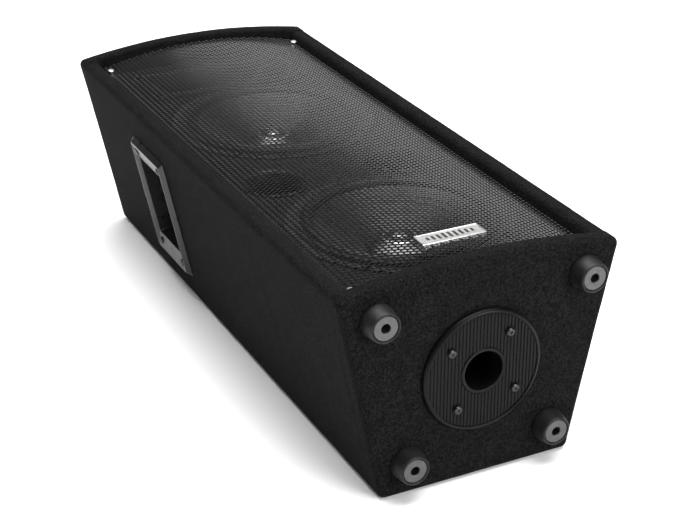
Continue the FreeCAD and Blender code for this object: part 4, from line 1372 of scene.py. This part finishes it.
def hornRing(halfX, halfY, corner, height):
    return [hornMiddle + Vector((x, y, height)) for x, y in roundedRing(halfX, halfY, corner, 8)]


hornRings = []
throat, wall, depth = horn["throatRadius"], horn["wall"], horn["depth"]
mouthX, mouthY = horn["mouth"]
for step in range(horn["outsideSteps"] + 1):
    share = step / horn["outsideSteps"]
    hornRings.append(hornRing(
        throat + wall + (mouthX - throat) * share, throat + wall + (mouthY - throat) * share,
        throat + (horn["corner"] - throat) * share + wall, -depth + (depth - wall) * share,
    ))
edge, mouthEdge = horn["edge"], horn["mouthEdge"]
hornRings += [
    hornRing(mouthX + wall, mouthY + wall, horn["corner"] + wall, 0),
    hornRing(flangeX, flangeY, horn["flangeCorner"], 0),
    hornRing(flangeX, flangeY, horn["flangeCorner"], flangeZ - edge),
    hornRing(flangeX - 0.4 * mm, flangeY - 0.4 * mm, horn["flangeCorner"], flangeZ - 0.4 * mm),
    hornRing(flangeX - edge, flangeY - edge, horn["flangeCorner"], flangeZ),
    hornRing(mouthX + mouthEdge, mouthY + mouthEdge, horn["corner"] + mouthEdge, flangeZ),
    hornRing(mouthX + 0.5 * mm, mouthY + 0.5 * mm, horn["corner"] + 0.5 * mm, flangeZ - 0.5 * mm),
]
for step in range(horn["insideSteps"] + 1):
    share = 1 - step / horn["insideSteps"]
    flared = share ** horn["flare"]
    hornRings.append(hornRing(
        throat + (mouthX - throat) * flared, throat + (mouthY - throat) * share,
        throat + (horn["corner"] - throat) * share, -depth + (depth + flangeZ - mouthEdge) * share,
    ))
hornPiece = makePiece("hornFlare", loft(hornRings, closed=True), "cabinet", hornPlastic)
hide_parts("horn")

port = {
    "lip": 6 * mm,  # from the flange's edge to the bore
    "flange": 4 * mm,  # from the flange's edge to the tube's outside
    "flareDepth": 20 * mm,
    "segments": 72,
}
for side in ("left", "right"):
    portLow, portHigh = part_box(f"port_tube_{side}")
    flange = (portHigh.x - portLow.x) / 2
    inner, outer = flange - port["lip"], flange - port["flange"]
    top = portHigh.z - cabinet["baffleZ"]
    end = portLow.z - cabinet["baffleZ"]
    tube = lathe([
        (inner, end), (inner, -port["flareDepth"]), (inner + 0.3 * mm, -9 * mm), (inner + 1.1 * mm, -3.5 * mm),
        (inner + 2.4 * mm, 0), (inner + 3.8 * mm, top - 0.5 * mm), (inner + 4.8 * mm, top),
        (flange - 0.5 * mm, top - 0.4 * mm), (flange, top - 1.2 * mm), (flange, 0), (outer, 0), (outer, end),
    ], port["segments"])
    portMiddle = middleOf(f"port_tube_{side}")
    portPlace = Matrix.Translation((portMiddle.x, portMiddle.y, cabinet["baffleZ"]))
    portPiece = makePiece(f"{side}Port", moved(tube, portPlace), "cabinet", hornPlastic)
    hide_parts(f"port_tube_{side}")
print("horn and ports fitted")

socket = {
    "bore": 18.25 * mm,
    "cup": 21 * mm,
    "lip": 21.4 * mm,
    "ribbed": 53.2 * mm,  # the ribs run out to this radius
    "ribPitch": 3.35 * mm,
    "ribWidth": 1.5 * mm,
    "ribRise": 0.85 * mm,
    "recess": 1.3 * mm,  # how far the ribbed floor lies under the rim
    "seat": 4.9 * mm,  # the clear round left for each screw
    "shortestRib": 0.8 * mm,
    "clear": 0.4 * mm,  # between the ribs' ends and the rim
    "sunk": 0.2 * mm,  # ribs and seats start under the floor
    "wall": 3 * mm,
    "segments": 128,
}
socketLow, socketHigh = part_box("pole_socket")
flangeRadius = (socketHigh.x - socketLow.x) / 2
flangeRise = cabinet["low"] - socketLow.y
cupDepth = socketHigh.y - cabinet["low"]
socketPlace = placeAt((socketMiddle.x, cabinet["low"], socketMiddle.z), *faceDown)


def clippedSpans(x, outer, circles):
    # the stretches of a line at x that lie inside the outer circle and clear of the others
    reach = math.sqrt(max(0, outer ** 2 - x ** 2))
    spans = [(-reach, reach)]
    for centreX, centreY, radius in circles:
        if abs(x - centreX) >= radius:
            continue
        half = math.sqrt(radius ** 2 - (x - centreX) ** 2)
        pieces = []
        for low, high in spans:
            pieces += [(low, min(high, centreY - half)), (max(low, centreY + half), high)]
        spans = [(low, high) for low, high in pieces if high - low > socket["shortestRib"]]
    return spans


ribFloor = flangeRise - socket["recess"]
profile = [
    (0, -cupDepth), (socket["cup"], -cupDepth), (socket["cup"], 0), (flangeRadius, 0),
    (flangeRadius - 0.1 * mm, flangeRise * 0.35), (flangeRadius - 0.7 * mm, flangeRise * 0.68),
    (flangeRadius - 1.9 * mm, flangeRise * 0.92), (flangeRadius - 3 * mm, flangeRise),
    (socket["ribbed"] + 0.7 * mm, flangeRise), (socket["ribbed"] + 0.2 * mm, flangeRise - 0.4 * mm),
    (socket["ribbed"], ribFloor), (socket["lip"] + 0.4 * mm, ribFloor),
    (socket["lip"], flangeRise - 0.4 * mm), (socket["lip"] - 0.5 * mm, flangeRise),
    (socket["bore"] + 0.9 * mm, flangeRise), (socket["bore"] + 0.3 * mm, flangeRise - 0.3 * mm),
    (socket["bore"], flangeRise - 1 * mm), (socket["bore"], -cupDepth + socket["wall"]),
    (0, -cupDepth + socket["wall"]),
]
socketParts = [lathe(profile, socket["segments"], False)]
screwCircles = []
for seat in screwSeats("pole_socket_screws", *faceDown):
    local = socketPlace.inverted() @ seat
    screwCircles.append((local.x, local.y, socket["seat"]))
clearOf = screwCircles + [(0, 0, socket["lip"] + 0.5 * mm)]
ribFoot = ribFloor - socket["sunk"]
for x, y, radius in screwCircles:
    boss = lathe([
        (0, ribFoot), (radius - 0.4 * mm, ribFoot), (radius - 0.4 * mm, flangeRise - 0.3 * mm),
        (radius - 0.7 * mm, flangeRise - 0.02 * mm), (0, flangeRise - 0.02 * mm),
    ], 40, False)
    socketParts.append(moved(boss, Matrix.Translation((x, y, 0))))
ribCount = int(socket["ribbed"] / socket["ribPitch"])
for number in range(-ribCount, ribCount + 1):
    x = number * socket["ribPitch"]
    half = socket["ribWidth"] / 2
    for low, high in clippedSpans(x, socket["ribbed"] - socket["clear"], clearOf):
        rings = []
        for inset, height in ((0, ribFoot), (0, ribFloor + socket["ribRise"] * 0.6),
                              (0.3 * mm, ribFloor + socket["ribRise"])):
            across = half - inset
            rings.append([(x + across, low + inset, height), (x + across, high - inset, height),
                          (x - across, high - inset, height), (x - across, low + inset, height)])
        socketParts.append(loft(rings, True, True))
socketPiece = makePiece("poleSocketPlate", moved(gather(socketParts), socketPlace), "cabinet", socketPlastic)
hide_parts("pole_socket")
print("pole socket set")

foot = {
    "baseRadius": 15.6 * mm,
    "faceRadius": 13.3 * mm,
    "washerRadius": 11 * mm,
    "holeRadius": 4.2 * mm,
    "washerTop": 0.8 * mm,  # under the face
    "washer": 2 * mm,
    "floor": 5 * mm,
    "screwHole": 1.9 * mm,
    "segments": 64,
}
washers = []
for name in ("front_left", "front_right", "rear_left", "rear_right"):
    footLow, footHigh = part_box(f"foot_{name}")
    footMiddle = middleOf(f"foot_{name}")
    footPlace = placeAt((footMiddle.x, cabinet["low"], footMiddle.z), *faceDown)
    height = footHigh.y - footLow.y
    pocket = height - foot["washerTop"] - foot["washer"]
    base, face = foot["baseRadius"], foot["faceRadius"]
    washerRadius, hole, screwHole = foot["washerRadius"], foot["holeRadius"], foot["screwHole"]
    rubber = lathe([
        (screwHole, 0), (base - 0.3 * mm, 0), (base, 0.6 * mm), (base - 0.15 * mm, 1.8 * mm),
        (base - 0.75 * mm, height * 0.45), (face + 0.65 * mm, height * 0.78),
        (face + 0.25 * mm, height - 1.3 * mm), (face - 0.1 * mm, height - 0.5 * mm),
        (face - 0.5 * mm, height - 0.1 * mm), (face - 0.9 * mm, height), (face - 1.3 * mm, height - 0.2 * mm),
        (washerRadius + 0.45 * mm, height - 0.9 * mm), (washerRadius + 0.35 * mm, pocket),
        (hole + 0.1 * mm, pocket), (hole + 0.1 * mm, foot["floor"]), (screwHole, foot["floor"]),
    ], foot["segments"])
    piece = makePiece(f"{name}Foot", moved(rubber, footPlace), "cabinet", footRubber)
    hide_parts(f"foot_{name}")
    top = pocket + foot["washer"]
    washers.append(moved(lathe([
        (hole, pocket), (washerRadius, pocket), (washerRadius, top - 0.35 * mm),
        (washerRadius - 0.35 * mm, top), (hole + 0.5 * mm, top), (hole, top - 0.4 * mm),
    ], foot["segments"]), footPlace))
washerPiece = makePiece("footWashers", gather(washers), "cabinet", washerSteel)
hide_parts("foot_washers")
print("feet fitted")

handle = {
    "baseHalf": (43 * mm, 67.5 * mm),  # along the cabinet, then up its side
    "lipHalf": (40 * mm, 63 * mm),
    "mouthHalf": (35 * mm, 45.5 * mm),
    "rise": 5.3 * mm,
    "mouthRise": 1.7 * mm,
    "lipWidth": 1.3 * mm,
    "depth": 34 * mm,
    "wall": 2.5 * mm,
    "corner": 3 * mm,
    "mouthCorner": 2 * mm,
    "floorCorner": 6 * mm,
    "screwSeat": 4.3 * mm,
    "seatHeight": 3 * mm,
    "seatReach": 9 * mm,  # the seat's cutter ends out here
    "sharpAngle": 25,
}


def handlePart():
    def ring(half, inset, corner, height):
        return [(x, y, height) for x, y in roundedRing(half[0] - inset, half[1] - inset, corner, 5)]

    base, lip, mouth = handle["baseHalf"], handle["lipHalf"], handle["mouthHalf"]
    rise, depth, wall = handle["rise"], handle["depth"], handle["wall"]
    low = handle["mouthRise"]
    corner, mouthCorner, floorCorner = handle["corner"], handle["mouthCorner"], handle["floorCorner"]
    rings = [
        ring(mouth, -wall + 4 * mm, floorCorner, -depth - wall),
        ring(mouth, -wall, floorCorner, -depth + 2 * mm),
        ring(mouth, -wall, mouthCorner + wall, 0),
        ring(base, 0.2 * mm, corner, 0),
        ring(base, 0, corner, 0.5 * mm),
        ring(lip, -0.25 * mm, corner, rise - 0.5 * mm),
        ring(lip, 0.05 * mm, corner, rise - 0.1 * mm),
        ring(lip, 0.4 * mm, corner, rise),
        ring(lip, handle["lipWidth"] - 0.3 * mm, corner - 1 * mm, rise),
        ring(lip, handle["lipWidth"], corner - 1.2 * mm, rise - 0.15 * mm),
        ring(mouth, -0.5 * mm, mouthCorner, low + 0.1 * mm),
        ring(mouth, -0.1 * mm, mouthCorner, low - 0.3 * mm),
        ring(mouth, 0, mouthCorner, low - 1 * mm),
        ring(mouth, 0.2 * mm, mouthCorner + 1 * mm, -depth + 6 * mm),
        ring(mouth, 1.2 * mm, floorCorner, -depth + 2 * mm),
        ring(mouth, 3.5 * mm, floorCorner, -depth + 0.4 * mm),
        ring(mouth, 6 * mm, floorCorner, -depth),
    ]
    return loft(rings, True, True)


for side, sign in (("left", -1), ("right", 1)):
    handleMiddle = middleOf(f"handle_{side}")
    outward = (sign, 0, -slope)
    along = (0, sign, 0)
    z = handleMiddle.z
    handlePlace = placeAt((sign * halfWidthAt(z), handleMiddle.y, z), along, outward)
    seats = [seat for seat in screwSeats("handle_screws", along, outward) if seat.x * sign > 0]
    piece = makePiece(f"{side}Handle", moved(handlePart(), handlePlace), "cabinet", handlePlastic,
                      handle["sharpAngle"])
    for seat in seats:
        local = handlePlace.inverted() @ seat
        seatCutter = lathe([
            (0, handle["seatHeight"]), (handle["screwSeat"], handle["seatHeight"]),
            (handle["screwSeat"], handle["seatReach"]), (0, handle["seatReach"]),
        ], 32, False)
        carve(piece, moved(seatCutter, handlePlace @ Matrix.Translation((local.x, local.y, 0))))
    piece.data.set_sharp_from_angle(angle=math.radians(handle["sharpAngle"]))
    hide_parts(f"handle_{side}")
    driveScrews(f"{side}HandleScrews", "handle_screws", seats, along, outward, darkSteel, "screw_steel")
print("handles fitted")

plate = {
    "dishHalf": (50 * mm, 30 * mm),
    "wall": 2.5 * mm,
    "corner": 5 * mm,
    "floorCorner": 4 * mm,
    "jackHole": 4.45 * mm,
    "nut": 7.2 * mm,
    "bush": 4.4 * mm,
    "bore": 3.2 * mm,
    "jackCut": 12 * mm,
    "cutStart": 4 * mm,
    "sharpAngle": 30,
}
plateMiddle = middleOf("connector_plate")
plateTop = feltThickness
dishDepth = plateHigh.z - plateTop - plate["wall"]
platePlace = placeAt((plateMiddle.x, plateMiddle.y, plateTop), *faceBack)
plateHalf = ((plateHigh.x - plateLow.x) / 2, (plateHigh.y - plateLow.y) / 2)


def plateRing(half, inset, corner, height):
    return [(x, y, height) for x, y in roundedRing(half[0] - inset, half[1] - inset, corner, 5)]


dish, wall = plate["dishHalf"], plate["wall"]
platePiece = makePiece("connectorPlate", moved(loft([
    plateRing(dish, -wall + 2 * mm, plate["floorCorner"] + wall, -dishDepth - wall),
    plateRing(dish, -wall, plate["floorCorner"] + wall, -dishDepth),
    plateRing(dish, -wall, plate["corner"] + wall, 0),
    plateRing(plateHalf, 0, plate["corner"], 0),
    plateRing(plateHalf, 0, plate["corner"], plateTop - 0.5 * mm),
    plateRing(plateHalf, 0.5 * mm, plate["corner"], plateTop),
    plateRing(dish, -0.8 * mm, plate["corner"], plateTop),
    plateRing(dish, 0, plate["corner"], plateTop - 0.8 * mm),
    plateRing(dish, 0.4 * mm, plate["floorCorner"], -dishDepth + 3 * mm),
    plateRing(dish, 3 * mm, plate["floorCorner"], -dishDepth),
], True, True), platePlace), "cabinet", platePlastic)
for name in ("input", "link"):
    jackLow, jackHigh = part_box(f"{name}_jack")
    jackMiddle = middleOf(f"{name}_jack")
    floorHeight = plateTop + dishDepth
    jackHole = lathe([
        (0, 0), (plate["jackHole"], 0), (plate["jackHole"], plate["jackCut"]), (0, plate["jackCut"]),
    ], 32, False)
    holePlace = Matrix.Translation((jackMiddle.x, jackMiddle.y, floorHeight - plate["cutStart"]))
    carve(platePiece, moved(jackHole, holePlace))
    nose = floorHeight - jackLow.z
    tail = jackHigh.z - floorHeight
    bodyRadius = (jackHigh.x - jackLow.x) / 2
    nut = plate["nut"]
    jack = lathe([
        (plate["bore"], nose), (plate["bore"] + 0.5 * mm, nose), (nut - 2.4 * mm, nose),
        (nut - 1.6 * mm, nose - 0.4 * mm), (nut - 1.2 * mm, nose - 1 * mm), (nut - 0.2 * mm, nose - 1.1 * mm),
        (nut, nose - 1.4 * mm), (nut, 0.3 * mm), (nut - 0.3 * mm, 0), (plate["bush"], 0),
        (plate["bush"], -wall), (bodyRadius, -wall), (bodyRadius, -tail + 1 * mm), (bodyRadius - 1 * mm, -tail),
        (0, -tail), (0, -tail + 1.2 * mm), (plate["bore"], -tail + 1.2 * mm), (plate["bore"], nose - 0.6 * mm),
    ], 48, False)
    jackPlace = placeAt((jackMiddle.x, jackMiddle.y, floorHeight), *faceBack)
    jackPiece = makePiece(f"{name}Jack", moved(jack, jackPlace), "cabinet", jackPlastic, 35,
                          0.001 * mm)
    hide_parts(f"{name}_jack")
platePiece.data.set_sharp_from_angle(angle=math.radians(plate["sharpAngle"]))
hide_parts("connector_plate")
print("connector plate fitted")

slotMaterials = {
    "wood": bareWood, "baffle": blackWood, "felt": felt, "grille_paint": grillePaint,
    "screw_steel": screwSteel, "washer_steel": washerSteel, "badge_metal": badgeMetal,
    "horn_plastic": hornPlastic, "port_plastic": hornPlastic, "socket_plastic": socketPlastic,
    "handle_plastic": handlePlastic, "plate_plastic": platePlastic, "jack_plastic": jackPlastic,
    "foot_rubber": footRubber, "gasket_rubber": gasketFoam, "surround_rubber": rollRubber,
    "spider_cloth": spiderCloth, "basket_paint": basketPaint, "plated_steel": platedSteel,
    "magnet_ferrite": ferrite, "cone_paper": conePaper, "cap_aluminium": capMetal,
    "copper_wire": copperWire, "circuit_board": laminate, "capacitor_film": wrappedFilm,
}
for entry in frame["record"]["subparts"]:
    mesh = nodes[entry["node"]].data
    mesh.materials.clear()
    mesh.materials.append(slotMaterials[entry["material_slot"]])
print("frame pieces painted")

light = {
    "floorColour": (0.93, 0.93, 0.93),
    "floorReach": 12,
    "frontStrength": 0.46,
    "backStrength": 0.08,
    # name: place, target, size, power in watts
    "lamps": {
        "overhead": ((0.15, 0.1, 2.4), (0, 0, 0), (2.8, 2.2), 160),
        "frontFill": ((1.0, -2.6, 1.1), (0, -0.3, 0.1), (1.6, 1.2), 70),
        "backRightStrip": ((1.75, 2.6, 1.0), (0, 0, 0.2), (2.2, 0.9), 10),
    },
}
floorMesh = bpy.data.meshes.new("floor")
reach = light["floorReach"]
floorCorners = [(-reach, -reach, 0), (reach, -reach, 0), (reach, reach, 0), (-reach, reach, 0)]
floorMesh.from_pydata(floorCorners, [], [(0, 1, 2, 3)])
floor = bpy.data.objects.new("floor", floorMesh)
scene.collection.objects.link(floor)
floorMaterial, _, floorShader = startMaterial("palePaper")
floorShader.inputs["Base Color"].default_value = (*light["floorColour"], 1)
floorShader.inputs["Roughness"].default_value = 0.9
floorMesh.materials.append(floorMaterial)

world = bpy.data.worlds.new("studio")
world.use_nodes = True
worldTree = world.node_tree
backdrop = worldTree.nodes["Background"]
backdrop.label = "Studio walls"
backdrop.inputs["Color"].default_value = (1, 1, 1, 1)
direction = worldTree.nodes.new("ShaderNodeTexCoord")
direction.label = "Direction in the studio"
direction.location = (-800, 0)
parts = worldTree.nodes.new("ShaderNodeSeparateXYZ")
parts.label = "Front to back"
parts.location = (-600, 0)
worldTree.links.new(direction.outputs["Generated"], parts.inputs["Vector"])
brightness = worldTree.nodes.new("ShaderNodeMapRange")
brightness.label = "Bright in front, dark behind"
brightness.location = (-400, 0)
brightness.inputs["From Min"].default_value = -0.3
brightness.inputs["From Max"].default_value = 0.6
brightness.inputs["To Min"].default_value = light["frontStrength"]
brightness.inputs["To Max"].default_value = light["backStrength"]
worldTree.links.new(parts.outputs["Y"], brightness.inputs["Value"])
worldTree.links.new(brightness.outputs["Result"], backdrop.inputs["Strength"])
scene.world = world


def softLight(name, place, target, size, power):
    data = bpy.data.lights.new(name, "AREA")
    data.shape = "RECTANGLE"
    data.size, data.size_y = size
    data.energy = power
    lamp = bpy.data.objects.new(name, data)
    lamp.location = place
    lamp.rotation_mode = "QUATERNION"
    lamp.rotation_quaternion = (Vector(target) - Vector(place)).to_track_quat("-Z", "Y")
    lamp.visible_camera = False
    scene.collection.objects.link(lamp)


for name, (place, target, size, power) in light["lamps"].items():
    softLight(name, place, target, size, power)
print("lights set")

camera = {
    "place": (-0.6338, -1.3358, 0.7971),
    "azimuth": 26.594,
    "elevation": 26.294,
    "lens": 83.9,
    "sensor": 36,
}
cameraData = bpy.data.cameras.new("camera")
cameraData.lens = camera["lens"]
cameraData.sensor_width = camera["sensor"]
cameraObject = bpy.data.objects.new("camera", cameraData)
cameraObject.location = camera["place"]
cameraObject.rotation_euler = (math.radians(90 - camera["elevation"]), 0, -math.radians(camera["azimuth"]))
scene.collection.objects.link(cameraObject)
scene.camera = cameraObject
scene.view_settings.view_transform = "Standard"
print("camera set")
